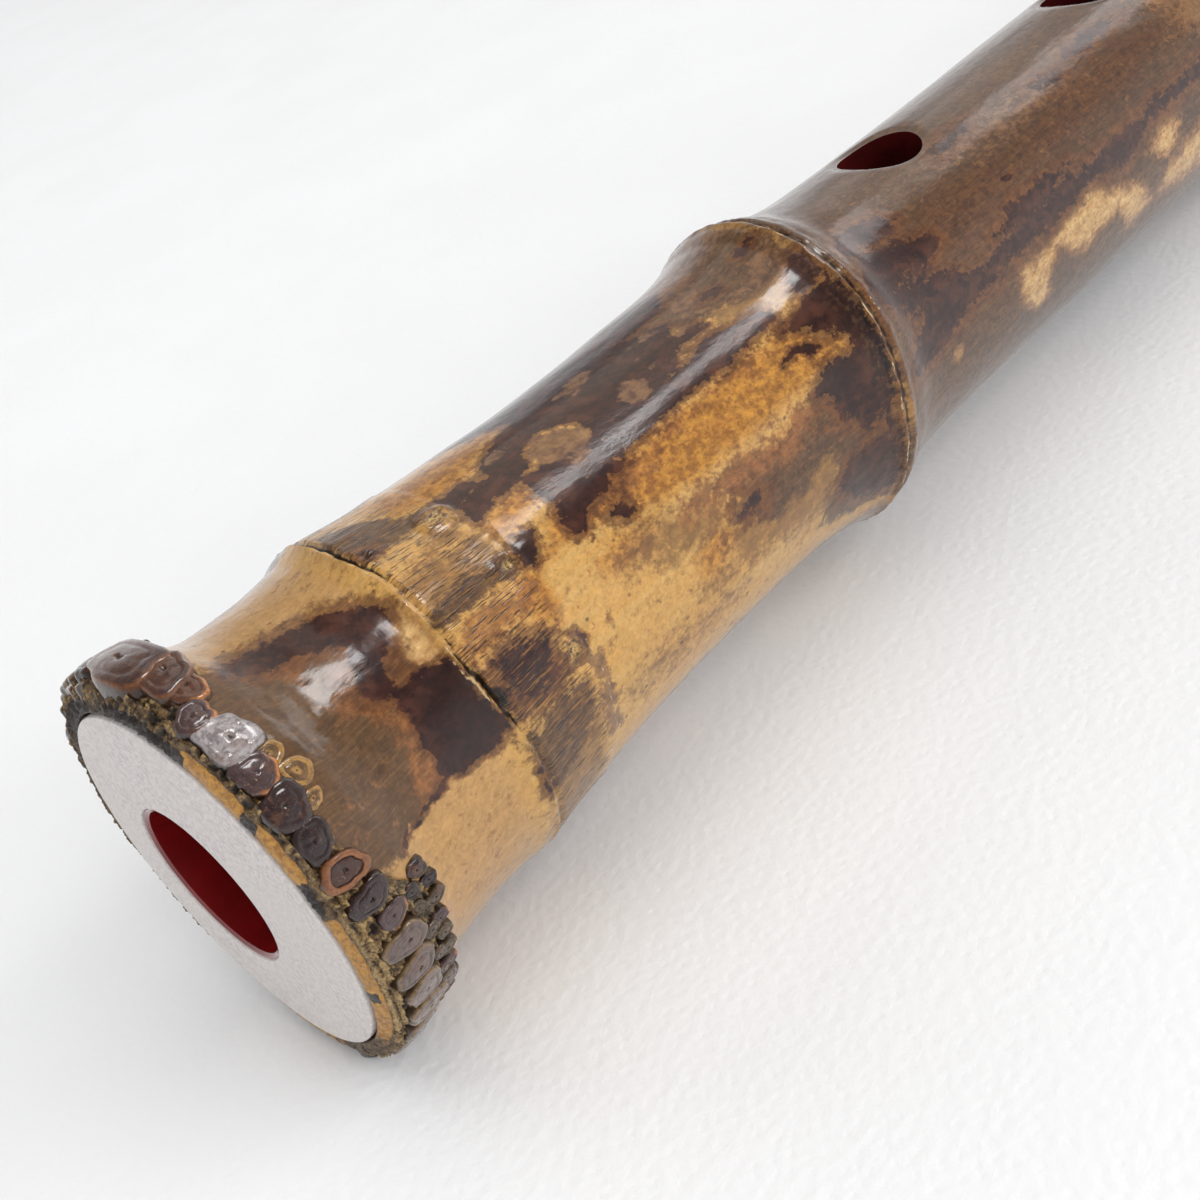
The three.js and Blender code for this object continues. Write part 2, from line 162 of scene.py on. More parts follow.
def pchip(xs, ys, x):
    """A smooth curve through the points that doesn't overshoot them."""
    xs, ys = np.asarray(xs, float), np.asarray(ys, float)
    h, d = np.diff(xs), np.diff(ys) / np.diff(xs)
    m = np.zeros_like(xs)
    m[0], m[-1] = d[0], d[-1]
    for i in range(1, len(xs) - 1):
        if d[i - 1] * d[i] > 0:
            w1, w2 = 2 * h[i] + h[i - 1], h[i] + 2 * h[i - 1]
            m[i] = (w1 + w2) / (w1 / d[i - 1] + w2 / d[i])
    x = np.clip(x, xs[0], xs[-1])
    i = np.clip(np.searchsorted(xs, x, side="right") - 1, 0, len(xs) - 2)
    t = (x - xs[i]) / h[i]
    return ((1 + 2 * t) * (1 - t) ** 2 * ys[i] + t * (1 - t) ** 2 * h[i] * m[i]
            + t * t * (3 - 2 * t) * ys[i + 1] + t * t * (t - 1) * h[i] * m[i + 1])


def scatter(ix, iy, iz, seed):
    h = (ix.astype(np.uint32) * np.uint32(73856093)) ^ (iy.astype(np.uint32) * np.uint32(19349663))
    h = h ^ (iz.astype(np.uint32) * np.uint32(83492791)) ^ np.uint32((seed * 2654435761) & 0xFFFFFFFF)
    h = h ^ (h >> np.uint32(13))
    h = h * np.uint32(0x5BD1E995)
    h = h ^ (h >> np.uint32(15))
    h = h * np.uint32(0x27D4EB2D)
    h = h ^ (h >> np.uint32(16))
    return h.astype(np.float64) / 4294967295.0


def noise(p, seed):
    """Smooth noise from -1 to 1 at points p, one lump to a unit."""
    p = np.asarray(p, float)
    i = np.floor(p)
    f = p - i
    i = i.astype(np.int64) + 100000
    u = f * f * f * (f * (f * 6 - 15) + 10)
    total = np.zeros(p.shape[:-1])
    for dx in (0, 1):
        wx = u[..., 0] if dx else 1 - u[..., 0]
        for dy in (0, 1):
            wy = u[..., 1] if dy else 1 - u[..., 1]
            for dz in (0, 1):
                wz = u[..., 2] if dz else 1 - u[..., 2]
                total += wx * wy * wz * scatter(i[..., 0] + dx, i[..., 1] + dy, i[..., 2] + dz, seed)
    return total * 2 - 1


def fbm(p, seed, octaves=4, gain=0.5):
    p = np.asarray(p, float)
    total, amp, norm = 0, 1.0, 0.0
    for k in range(octaves):
        total = total + amp * noise(p * 2.0 ** k + 17.3 * k, seed + k)
        norm += amp
        amp *= gain
    return total / norm * 1.6


# ---------------------------------------------------------------- the flute's shape
LENGTH, JOINT_X, FACE_GAP = 545.0, 249.0, 0.3
OUTER = np.array([
    [0.7, 21.9, 0.2], [1.8, 23.4, 0.4], [3.6, 23.8, 0.5], [6.0, 23.4, 0.4], [8.3, 22.8, 0.2], [10.2, 21.8, 0.0],
    [12.5, 20.9, 0.2], [16.0, 20.5, 0.4], [20.0, 20.25, 0.6], [24.0, 20.4, 0.8], [26.6, 20.95, 1.1], [29.5, 20.6, 1.1],
    [34.0, 19.95, 1.1], [40.0, 19.5, 1.15], [48.0, 18.95, 1.2], [58.0, 18.55, 1.1], [68.0, 18.5, 1.1],
    [78.0, 18.6, 1.2], [85.0, 19.0, 1.1], [90.0, 19.9, 1.1], [93.3, 20.8, 1.2], [96.5, 20.2, 1.2], [99.5, 19.2, 1.1],
    [103.0, 18.6, 1.0], [108.0, 18.2, 0.8], [115.0, 18.0, 0.7], [130.0, 17.95, 0.45], [150.0, 18.05, 0.25],
    [175.0, 18.3, 0.1], [190.0, 18.5, 0.0], [195.0, 19.0, 0.0], [198.0, 19.6, 0.0], [201.0, 18.9, 0.0],
    [208.0, 18.2, 0.0], [220.0, 17.95, 0.0], [230.7, 17.9, 0.0], [267.3, 17.8, 0.0], [290.0, 17.6, 0.0],
    [312.0, 17.7, 0.0], [320.0, 18.1, 0.0], [323.5, 18.8, 0.0], [327.0, 18.0, 0.0], [335.0, 17.4, 0.0],
    [365.0, 17.1, 0.0], [400.0, 17.1, 0.0], [428.0, 17.4, 0.0], [434.0, 17.9, 0.0], [437.0, 18.5, 0.0],
    [440.5, 17.7, 0.0], [449.0, 17.1, 0.0], [480.0, 16.8, 0.0], [515.0, 17.0, 0.0], [530.0, 17.4, 0.0],
    [535.0, 17.8, 0.0], [538.0, 18.2, 0.0], [541.0, 17.6, 0.0], [543.6, 17.1, 0.0], [545.0, 16.2, 0.0]])
BEND = math.radians(56.0)
BORE = np.array([[0, 9.45], [8, 9.25], [25, 8.8], [60, 8.1], [110, 7.85], [160, 8.2], [209.4, 8.65], [240, 8.9],
                 [272, 9.1], [340, 9.35], [430, 9.65], [520, 9.9], [545, 10.0]])
FRONT_HOLES = [(122.2, 5.6), (173.0, 5.4), (221.0, 5.1), (279.0, 5.1)]
THUMB_HOLE = (309.0, 4.9)
SEAT_LOW, SEAT_HIGH, SEAT_R = 230.7, 267.3, 16.6
TENON_START, TENON_END, TENON_R, TENON_WALL = 210.0, 271.7, 12.2, 1.8
SOCKET_R, SOCKET_WALL, SOCKET_END = 12.28, 1.15, 272.0
PLATE_R, PLATE_T = 21.0, 2.6


def bore(x):
    return pchip(BORE[:, 0], BORE[:, 1], x)


def bore_shift(x):
    k = 1 - smoothstep(-14, 52, x)
    return 4.22 * k, -2.03 * k


def outer_radius(x):
    return pchip(OUTER[:, 0], OUTER[:, 1], x)


def outer_middle(x):
    off = pchip(OUTER[:, 0], OUTER[:, 2], x)
    return off * math.cos(BEND), off * math.sin(BEND)


def lean(x, a):
    return 1.6 * np.minimum(smoothstep(72, 93.3, x), 1 - smoothstep(93.3, 115, x)) * np.cos(a - math.radians(60))


def around(table, a_deg):
    """A closed table of (degrees, value) read at a_deg."""
    t = np.array(table, float)
    ang = np.concatenate([t[-1:, 0] - 360, t[:, 0], t[:1, 0] + 360])
    val = np.concatenate([t[-1:, 1], t[:, 1], t[:1, 1]])
    return np.interp(np.mod(a_deg, 360), ang, val)


RING_A = [(30, 27.3), (60, 27.2), (70, 27.0), (80, 26.5), (90, 26.25), (100, 26.15), (110, 26.5), (120, 26.35),
          (130, 26.1), (136, 26.0), (142, 25.7), (150, 25.6), (158, 25.8), (165, 26.1), (172, 26.4), (180, 26.8),
          (190, 27.1), (200, 27.4), (210, 27.8), (225, 28.0), (240, 27.9), (270, 27.6), (300, 27.4), (330, 27.3)]
BAND_END = [(0, 38.4), (60, 38.5), (90, 38.4), (100, 38.2), (118, 38.3), (122, 39.0), (131, 39.1), (140, 39.5),
            (148, 39.2), (155, 38.6), (165, 38.9), (180, 39.0), (190, 38.8), (200, 38.5), (210, 38.2), (240, 38.3),
            (300, 38.6)]
RING_B = [(0, 93.8), (60, 93.8), (90, 93.5), (110, 93.2), (130, 93.3), (140, 93.0), (150, 92.9), (160, 92.6),
          (170, 92.3), (180, 91.9), (190, 92.1), (200, 92.4), (210, 92.7), (225, 92.6), (240, 93.0), (300, 93.4)]
OTHER_RINGS = (198.0, 323.5, 437.0, 538.0)
# where the sheath left a bud's scar: x, degrees, half length, half width, height of its rim, depth of its middle
SCARS = [(37.6, 134.2, 1.5, 0.9, 0.28, 0.45), (37.3, 165.5, 1.3, 1.3, 0.15, 0.35), (36.6, 107.3, 1.7, 1.2, 0.35, -0.25),
         (27.9, 104.5, 1.1, 0.9, 0.1, 0.3)]


def relief(x, a):
    """How far the culm's surface stands out of its smooth shape, in mm."""
    deg = np.degrees(a) % 360
    cyl = np.stack([x, 19 * np.cos(a), 19 * np.sin(a)], -1)
    d = 0.10 * fbm(cyl * np.array([0.045, 0.09, 0.09]), 3, 3)
    d = d + 0.035 * fbm(cyl * np.array([0.12, 0.5, 0.5]), 4, 2)
    # node ring A: a thin lip with a crevice behind it, and the sheath's fibrous band
    xa = around(RING_A, deg) + 0.12 * noise(cyl * np.array([0, 0.9, 0.9]) + 5, 11)
    chips = smoothstep(0.25, 0.7, noise(cyl * np.array([0, 0.35, 0.35]) + 9, 12))
    crevice = 0.35 + 0.65 * np.maximum(bell(deg - 156, 14), np.maximum(bell(deg - 92, 22), 0.6 * bell(deg - 300, 60)))
    d = d + (0.34 - 0.22 * chips) * bell(x - xa, 0.38)
    d = d - 0.5 * crevice * bell(x - xa - 0.62, 0.30)
    crumb = bell((deg - 160) * 0.36, 1.5) * bell(x - xa - 1.2, 1.6)
    d = d - crumb * 0.55 * np.abs(fbm(cyl * 1.6, 21, 3)) + 0.1 * crumb
    xe = around(BAND_END, deg) + 0.35 * fbm(cyl * np.array([0, 0.4, 0.4]) + 3, 13, 3)
    band = smoothstep(xa + 0.7, xa + 1.3, x) * (1 - smoothstep(xe - 0.25, xe + 0.35, x))
    d = d + 0.13 * band + 0.07 * band * noise(cyl * np.array([0.10, 2.6, 2.6]), 14)
    for x0, a0, lx, ly, rim, deep in SCARS:
        q = np.hypot((x - x0) / lx, (deg - a0) * 0.34 / ly)
        d = d + rim * bell(q - 1, 0.35) - deep * bell(q, 0.75) * (1 + 0.5 * noise(cyl * 2.2, 15))
    cap = bell((x - 40.5) / 1.5, 1.0) * bell((deg - 133.3) * 0.34 / 1.1, 1.0)
    d = d + 0.28 * cap
    d = d - 0.35 * bell((x - 38.9) / 0.35, 1) * bell((deg - 165) * 0.34 / 1.5, 1)
    # node ring B: a raised lip, a groove and a second, lower ridge
    xb = around(RING_B, deg) + 0.16 * fbm(cyl * np.array([0, 0.6, 0.6]) + 7, 16, 3)
    d = d + 0.30 * bell(x - xb, 0.42) - 0.30 * bell(x - xb - 0.95, 0.40) + 0.16 * bell(x - xb - 1.9, 0.55)
    rough = bell(x - xb - 1.2, 2.2)
    d = d + 0.10 * rough * fbm(cyl * np.array([1.0, 1.3, 1.3]), 17, 3)
    for k, xr in enumerate(OTHER_RINGS):
        xn = xr + 0.5 * np.cos(a - 1.3 * k) + 0.16 * fbm(cyl * np.array([0, 0.6, 0.6]) + 7 * k, 18 + k, 3)
        d = d + 0.22 * bell(x - xn, 0.45) - 0.26 * bell(x - xn - 1.0, 0.42) + 0.12 * bell(x - xn - 1.9, 0.6)
        d = d + 0.05 * bell(x - xn - 1.2, 2.0) * fbm(cyl, 30 + k, 3)
    # the internode's faint ridges, where the sap groove's edges run
    between = smoothstep(44, 56, x) * (1 - smoothstep(84, 90, x))
    d = d + between * (0.16 * bell(deg - 152.5, 4.0) - 0.10 * bell(deg - 144.5, 6) - 0.08 * bell(deg - 162, 6))
    return d


def culm_surface(x, a, extra=0.0):
    r = outer_radius(x) + relief(x, a) + extra
    cy, cz = outer_middle(x)
    return np.stack([x + lean(x, a), r * np.cos(a) + cy, r * np.sin(a) + cz], -1)


def above_floor(co):
    """The points with none of them under the surface that the flute lies on."""
    co = np.array(co, float)
    co[..., 2] = np.maximum(co[..., 2], 2e-5)
    return co


def grid_mesh(name, loops, close=True):
    """A closed mesh from rings of points: loops is (stations, around, 3) in flute millimetres, joined end to end."""
    n, m = loops.shape[:2]
    co = above_floor(to_row(loops.reshape(-1, 3)))
    i = np.arange(n if close else n - 1)
    j = np.arange(m)
    I, J = np.meshgrid(i, j, indexing="ij")
    I2, J2 = (I + 1) % n, (J + 1) % m
    quads = np.stack([I * m + J, I * m + J2, I2 * m + J2, I2 * m + J], -1).reshape(-1, 4)
    return raw_mesh(name, co, quads)


def raw_mesh(name, co, faces):
    me = bpy.data.meshes.new(name)
    faces = np.asarray(faces)
    k = faces.shape[1]
    me.vertices.add(len(co))
    me.vertices.foreach_set("co", np.asarray(co, np.float32).ravel())
    me.loops.add(faces.size)
    me.loops.foreach_set("vertex_index", faces.astype(np.int32).ravel())
    me.polygons.add(len(faces))
    me.polygons.foreach_set("loop_start", (np.arange(len(faces)) * k).astype(np.int32))
    me.update(calc_edges=True)
    me.validate()
    ob = bpy.data.objects.new(name, me)
    scene.collection.objects.link(ob)
    return ob


def outward(ob):
    """Faces point out of the solid."""
    me = ob.data
    co = np.zeros(len(me.vertices) * 3)
    me.vertices.foreach_get("co", co)
    co = co.reshape(-1, 3)
    me.calc_loop_triangles()
    tri = np.zeros(len(me.loop_triangles) * 3, np.int32)
    me.loop_triangles.foreach_get("vertices", tri)
    tri = tri.reshape(-1, 3)
    v = co - co.mean(0)
    volume = np.einsum("ij,ij->i", v[tri[:, 0]], np.cross(v[tri[:, 1]], v[tri[:, 2]])).sum()
    if volume < 0:
        me.flip_normals()
    return ob


def smooth(ob, degrees=40):
    me = ob.data
    me.polygons.foreach_set("use_smooth", np.ones(len(me.polygons), bool))
    me.set_sharp_from_angle(angle=math.radians(degrees))
    me.update()
    return ob


def cut(ob, cutters, solver="MANIFOLD"):
    """Cuts the cutters out of ob, and removes them."""
    for c in cutters:
        mod = ob.modifiers.new("cut", "BOOLEAN")
        mod.operation = "DIFFERENCE"
        mod.object = c
        try:
            mod.solver = solver
        except TypeError:
            mod.solver = "EXACT"
    bpy.context.view_layer.update()
    dg = bpy.context.evaluated_depsgraph_get()
    done = bpy.data.meshes.new_from_object(ob.evaluated_get(dg))
    ob.modifiers.clear()
    old = ob.data
    ob.data = done
    bpy.data.meshes.remove(old)
    ob.data.name = ob.name
    for c in cutters:
        me = c.data
        bpy.data.objects.remove(c)
        bpy.data.meshes.remove(me)
    return ob


def hole_cutter(x, r, sign, n=96):
    """A tone hole's straight cutter, from near the axis out through the front (+1) or the back (-1)."""
    a = np.linspace(0, 2 * math.pi, n, endpoint=False)
    rings = [np.stack([x + 0.02 * r * np.cos(a), 0.02 * r * np.sin(a), np.full(n, sign * 1.0)], -1)]
    for z in (1.0, 26.0):
        rings.append(np.stack([x + r * np.cos(a), r * np.sin(a), np.full(n, sign * z)], -1))
    rings.append(np.stack([x + 0.02 * r * np.cos(a), 0.02 * r * np.sin(a), np.full(n, sign * 26.0)], -1))
    loops = np.stack(rings)
    k = len(loops)
    co = to_row(loops.reshape(-1, 3))
    faces = []
    for i in range(k - 1):
        for j in range(n):
            faces.append((i * n + j, i * n + (j + 1) % n, (i + 1) * n + (j + 1) % n, (i + 1) * n + j))
    me = bpy.data.meshes.new("cutter")
    me.from_pydata([tuple(c) for c in co], [], faces + [tuple(range(n)), tuple(reversed(range((k - 1) * n, k * n)))])
    ob = bpy.data.objects.new("cutter", me)
    scene.collection.objects.link(ob)
    me.update()
    fix_normals(ob)
    return ob


def fix_normals(ob):
    import bmesh
    bm = bmesh.new()
    bm.from_mesh(ob.data)
    bmesh.ops.recalc_face_normals(bm, faces=bm.faces)
    bm.to_mesh(ob.data)
    bm.free()
    ob.data.update()


def vertices_of(ob):
    co = np.zeros(len(ob.data.vertices) * 3)
    ob.data.vertices.foreach_get("co", co)
    return to_flute(co.reshape(-1, 3))


def put(ob, name, values):
    """A float value on each vertex, for the materials."""
    at_ = ob.data.attributes.get(name) or ob.data.attributes.new(name, "FLOAT", "POINT")
    at_.data.foreach_set("value", np.asarray(values, np.float32))


def hole_walls(ob, holes, index):
    """Gives the walls of the tone holes the material slot of that index."""
    me = ob.data
    n = len(me.polygons)
    c, nm = np.zeros(n * 3), np.zeros(n * 3)
    me.polygons.foreach_get("center", c)
    me.polygons.foreach_get("normal", nm)
    c, nm = to_flute(c.reshape(-1, 3)), nm.reshape(-1, 3)
    slots = np.zeros(n, np.int32)
    me.polygons.foreach_get("material_index", slots)
    for x, r, sign in holes:
        q = np.hypot(c[:, 0] - x, c[:, 1])
        wall = (q < r + 0.08) & (q > r - 0.6) & (np.abs(nm[:, 2]) < 0.4) & (c[:, 2] * sign > 3)
        slots[wall] = index
    me.polygons.foreach_set("material_index", slots)
    me.update()


def hole_dish(x, a, holes):
    """The tone holes' edges are eased: how far the surface drops beside them."""
    P_r = outer_radius(x)
    y, z = P_r * np.cos(a), P_r * np.sin(a)
    d = np.zeros_like(x)
    for hx, r, sign in holes:
        q = np.hypot(x - hx, y)
        d -= np.where(z * sign > 0, 0.42 * bell(np.maximum(q - r, 0), 0.75), 0)
    return d


# ---------------------------------------------------------------- the stains
# Drawn outlines of the bamboo's stains, as (x mm, degrees round the flute), for the side that lies up.
# A softness in mm comes first. Elsewhere the stains come from noise.
STAINS = {
    "tan": [
        (0.8, [(79, 70), (84, 66), (92.6, 62), (92.6, 88), (90.6, 85), (87.4, 88), (85, 87), (83, 80)]),
        (0.6, [(78, 98), (79.8, 92), (81.6, 90), (82, 98), (79.6, 104), (81, 110), (85, 113), (88.6, 114), (91.4, 112), (92, 106), (88.8, 105.4), (86.6, 110), (84, 109), (82, 111), (78.8, 108), (77.6, 103)]),
        (0.5, [(70, 98), (72, 101), (74.4, 101), (73, 97)]),
        (0.4, [(49.2, 112), (50.5, 115.6), (53, 119.5), (55, 119), (56.4, 116.5), (57, 114.2), (56, 111), (54.8, 107.4), (53.6, 104.8), (51.4, 105.4), (49.8, 108.6)]),
        (0.2, [(62.2, 114.8), (63.2, 118.4), (65, 120.2), (66.4, 118.6), (67, 115), (66.6, 111.8), (65.2, 107), (63.8, 109.4)]),
        (0.4, [(59, 93), (60.6, 98.2), (63.4, 97.4), (65.2, 94), (64.6, 91), (62, 90)]),
        (0.0, [(68.2, 112.6), (69.4, 113), (69.6, 111.2), (68.6, 110.6)]),
        (0.0, [(68.1, 107), (69.3, 107.6), (69.1, 105.4)]),
        (0.2, [(74.2, 108.6), (76, 109), (77, 107.4), (75.6, 106.2), (74.4, 107)]),
        (0.2, [(52.3, 122), (55, 123), (55, 119.6), (52.8, 119.6)]),
        (0.3, [(46, 101), (48.6, 103), (49.6, 99.5), (48.4, 97), (46.4, 98)]),
        (0.6, [(35.8, 110), (37.6, 110.5), (38, 104), (35.6, 104)]),
        (0.5, [(36.1, 170), (38.2, 169.4), (38.3, 161), (36.3, 161.5)]),
        (1.2, [(37, 200), (39.4, 204), (39.6, 172), (37.6, 172), (37.4, 186)]),
        # A lighter patch past ring B, painted where a sheen lies: painted sheen, not a stain.
        (3.0, [(122, 121), (128, 127), (136, 130), (144, 129), (150, 126), (144, 120), (134, 118)]),
    ],
    "gold": [
        (1.0, [(39, 137), (40, 141), (44.5, 140.5), (46, 141.5), (49.8, 141), (52.4, 148.5), (57, 151), (63, 152.5), (75, 153.6), (88.6, 152.4), (88.9, 148), (87, 143.5), (85.5, 137), (82, 133.5), (75, 131.5), (64, 131.5), (58, 131.2), (50, 128.6), (46, 129.6), (44, 131.5), (43, 137)]),
        (0.6, [(35, 152), (37.5, 156), (39.4, 151), (39.4, 139), (36.5, 138.5)]),
        (0.6, [(38.6, 126), (45.8, 124.6), (46.6, 120.5), (45.2, 117), (41.5, 118.6), (38.8, 119.4)]),
        (1.5, [(35, 99), (38.4, 100), (44.8, 98.6), (47, 94.5), (49.5, 91), (54, 88), (50, 80), (42, 78), (36, 80), (34, 90)]),
        (2.0, [(45.5, 155), (48, 158), (52, 159), (56, 155), (50, 149), (45.5, 150)]),
        (1.5, [(56, 182), (60, 182), (64, 176), (62, 170), (56, 171.5)]),
        (1.5, [(79, 165), (86, 174), (83, 178), (76, 172)]),
    ],
    "haze": [
        (1.8, [(27, 232), (27.2, 200), (26.8, 185), (27, 176), (28, 173), (33, 172), (36, 174), (37.2, 180), (37.4, 190), (36.8, 200), (36.3, 212), (36, 232)]),
        (1.6, [(53, 170), (57, 171), (60, 169.5), (62, 166), (62, 160), (60, 155), (57, 155), (55, 158), (53.5, 162), (52.5, 166)]),
        (1.2, [(54.5, 187), (56, 190), (60, 191), (62, 188), (60, 184.5), (56, 183)]),
        (0.8, [(32.5, 118), (37.5, 118), (38.4, 112), (34.5, 109)]),
        (1.5, [(47, 127), (50, 129), (55, 129), (60, 129.5), (64, 130.5), (70, 129.5), (76, 129), (84, 129), (90, 127), (92.5, 122), (92, 105), (88, 95), (84, 88), (78, 87), (72, 86), (69, 86), (72, 93), (75.5, 97), (76.5, 102), (75.5, 108), (79, 110), (78, 113.5), (72, 115), (68, 120), (60, 124), (55, 122), (50, 118), (47, 119.5), (46, 123)]),
        (2.0, [(62, 170), (70, 197), (80, 206), (92, 216), (92, 200), (82, 190), (76, 184), (68, 172)]),
        (2.0, [(50, 152), (56, 153), (64, 160), (64, 171), (58, 171), (52, 165), (48, 158)]),
        (3.4, [(41, 195), (46, 198), (55, 201), (62, 199), (60, 195), (50, 193), (43, 191)]),
        (2.2, [(60, 178), (62, 189), (70, 197), (80, 204), (90, 206), (91, 186), (90, 172), (80, 165), (69, 165), (63, 170)]),
        (1.2, [(27, 134), (33, 135), (38, 133), (38.6, 122), (36, 118), (30, 119), (27, 120)]),
    ],
    "brown": [
        (1.0, [(47, 100), (51, 97), (60, 92), (68, 92), (74, 99), (76, 110), (80, 112), (84, 116), (92.6, 118), (92.6, 60), (80, 54), (60, 50), (44, 52), (42, 60), (50, 78), (52.5, 90)]),
        (0.3, [(5, 170), (10, 168.8), (14, 166.8), (18, 167), (20, 167.6), (23, 169.2), (26.2, 169.5), (25.6, 160), (25.3, 142), (24, 140.5), (22, 137), (22.5, 131), (24.3, 124), (24.6, 122), (23.5, 117), (22, 110), (19, 105.5), (17, 103), (13.5, 102), (10, 101.5), (7.5, 104), (4, 96), (3, 140)]),
        (1.6, [(27, 196), (26.8, 185), (27, 176), (28, 173), (33, 172), (36, 174), (36.8, 180), (36, 188), (32, 195)]),
        (0.8, [(26.6, 168), (30, 171), (34, 172), (36, 167), (35.8, 160), (33, 152), (30, 151), (26.6, 151)]),
        (0.6, [(27, 137), (33, 137.5), (37, 137.5), (38.6, 136), (38.5, 130), (34, 129.5), (27, 130)]),
        (0.8, [(27, 109), (29, 107), (32, 108), (36, 105), (38.5, 102.5), (37, 99.5), (34.5, 97), (33, 90), (31, 84), (27.5, 80), (27, 95)]),
        (1.2, [(63.5, 170.5), (65.5, 175.5), (66.5, 181), (70, 185), (75, 184), (77.5, 181), (79, 178.5), (80.5, 184), (80, 192), (78.5, 197), (77, 203), (78, 208), (82, 213), (92, 218), (92, 166), (84, 166), (76, 161), (71, 158.5), (64, 158.5), (61.5, 162), (66, 169)]),
        (1.2, [(92.5, 132), (92.5, 88), (86, 88), (83, 92), (85, 98), (88.5, 104), (90, 110), (91, 120), (91, 128)]),
        (1.5, [(93.6, 50), (93.6, 240), (205, 240), (205, 50)]),
        (0.6, [(80, 133), (86, 137), (87.6, 143), (92, 142), (92, 131), (84, 130.5)]),
        (1.6, [(71, 165), (75, 162), (80, 158), (86, 157), (91, 160), (92, 202), (87, 204), (84, 197), (82, 187), (81, 178), (78, 172)]),
    ],
    "orange": [
        (1.1, [(14.6, 165), (17.4, 165), (17.8, 159), (17, 155), (18.3, 150), (18.8, 147), (18.4, 143.6), (17.2, 141), (17.2, 135), (16.6, 131), (14.2, 131), (14, 134), (15, 137.5), (16, 141), (17, 145), (16.4, 150), (15.6, 155), (15.2, 160)]),
        (0.9, [(13.5, 118), (17, 117.8), (18, 114.6), (15, 113), (12, 111), (12.5, 115)]),
        (0.8, [(93.8, 158), (96, 158.6), (97, 152), (95.4, 144), (95, 138), (96.6, 131), (93.9, 130)]),
        (2.2, [(100, 161), (106, 158), (112, 157), (118, 160), (124, 161), (127, 158), (126, 152), (130, 146), (131, 140), (127, 134), (120, 131), (113, 131), (109, 134), (112, 139), (112.6, 144), (110.4, 148), (107, 149.5), (104, 147), (102, 151), (97, 153)]),
        (3.0, [(131, 150), (150, 149), (165, 148), (185, 143), (175, 129), (150, 128), (140, 130), (133, 137)]),
        (2.4, [(64, 89), (70, 87), (76, 87), (84, 88), (86, 84), (84, 76), (66, 75), (62, 81)]),
        (0.7, [(27, 149.8), (32, 149), (36, 149), (38, 146), (38, 139.5), (33, 139.5), (28, 138), (26.8, 143)]),
        (1.3, [(46, 127), (56, 128), (57.6, 134), (62, 131.5), (66, 132), (72, 131), (80, 131.5), (82, 135), (78, 137), (72, 135), (66, 136.5), (60, 138), (57, 141), (54, 141.5), (46, 141)]),
        (1.6, [(58, 154), (66, 156), (74, 156.5), (80, 158), (81, 165), (76, 169), (70, 167), (64, 166), (58, 162)]),
        (0.7, [(80.5, 171), (84, 174.5), (88.4, 174), (88, 170.6), (84, 169.4)]),
    ],
    "cream": [
        (1.0, [(121, 188), (122, 177), (126, 177.5), (131, 175), (134, 171.4), (138, 168.4), (141, 167.6), (142.4, 172), (144, 177), (148, 180), (151, 184), (153, 190), (155, 198), (151, 205), (148, 199), (146, 190), (142, 188), (140, 191.5), (136.5, 192.4), (133.5, 188), (131, 181), (128, 186), (128, 200), (125, 202)]),
        (1.2, [(155, 176), (157, 181), (160, 184), (163, 180), (163, 172), (160, 168), (157, 172)]),
        (1.6, [(157, 197), (164, 204), (172, 206), (180, 196), (178, 186), (170, 183), (164, 186), (160, 189)]),
        (0.6, [(105.2, 186), (106.5, 190.6), (107.8, 189), (107.4, 185)]),
        (0.4, [(111.6, 170), (112.5, 174), (113, 171)]),
        (0.5, [(22.2, 137), (24, 140), (25.4, 141), (25.8, 133), (26, 122.6), (25.2, 122.4), (24.6, 124.6), (23, 131)]),
    ],
    "dark": [
        (0.4, [(46, 117), (50, 115), (57, 120), (64, 121.5), (72, 119), (76, 117.5), (80, 120.5), (84.5, 123.5), (84.5, 129), (78, 129.4), (70, 129.4), (62, 129.6), (57, 130.4), (50, 129), (46.5, 129.4)]),
        (0.7, [(53.5, 91), (56, 88), (62, 85.4), (69, 86.6), (73, 92), (77, 92), (80, 86), (82, 78), (78, 70), (70, 64), (60, 58), (48, 56), (45, 62), (48, 72), (52, 82)]),
        (0.3, [(88.2, 99.5), (90, 102), (92, 100), (91.6, 97), (90, 97.4)]),
        (0.4, [(80.4, 104), (82.4, 107), (84, 105), (83.4, 101.6), (81.4, 101.4)]),
        (0.5, [(86, 82), (88, 85), (90.4, 82), (89.6, 76), (86.6, 77)]),
        (0.4, [(88.5, 128.4), (91.4, 130), (92.8, 131), (92.8, 117), (91, 116), (89.6, 120)]),
        (0.2, [(17.4, 165.5), (20, 167.4), (23, 169), (26.1, 169.3), (25.8, 163), (25.2, 158), (25.4, 150), (25.4, 142.5), (24, 141.2), (21, 139.6), (19.2, 141), (18.6, 144), (18.9, 147.5), (18.2, 150.5), (17.6, 155), (17.9, 160)]),
        (0.8, [(20.3, 141.5), (18.2, 139.5), (17.3, 136), (17.2, 131), (17.6, 127), (18.3, 124), (19.5, 121), (18.8, 118.5), (16.5, 115.5), (14, 112), (11.5, 109.8), (9.8, 107.5), (8.8, 105.5), (9.6, 102.2), (13, 101.9), (16.5, 102.7), (18.6, 105), (21.5, 109), (23, 113.5), (23.6, 117.5), (24.5, 121.8), (23.3, 124.5), (22, 128), (20.6, 131.5), (20, 134.5), (20.4, 137.5)]),
        (0.0, [(9.5, 169.2), (13.5, 167.3), (17.5, 167.6), (17.5, 166.1), (13.5, 166.0), (10, 168.0)]),
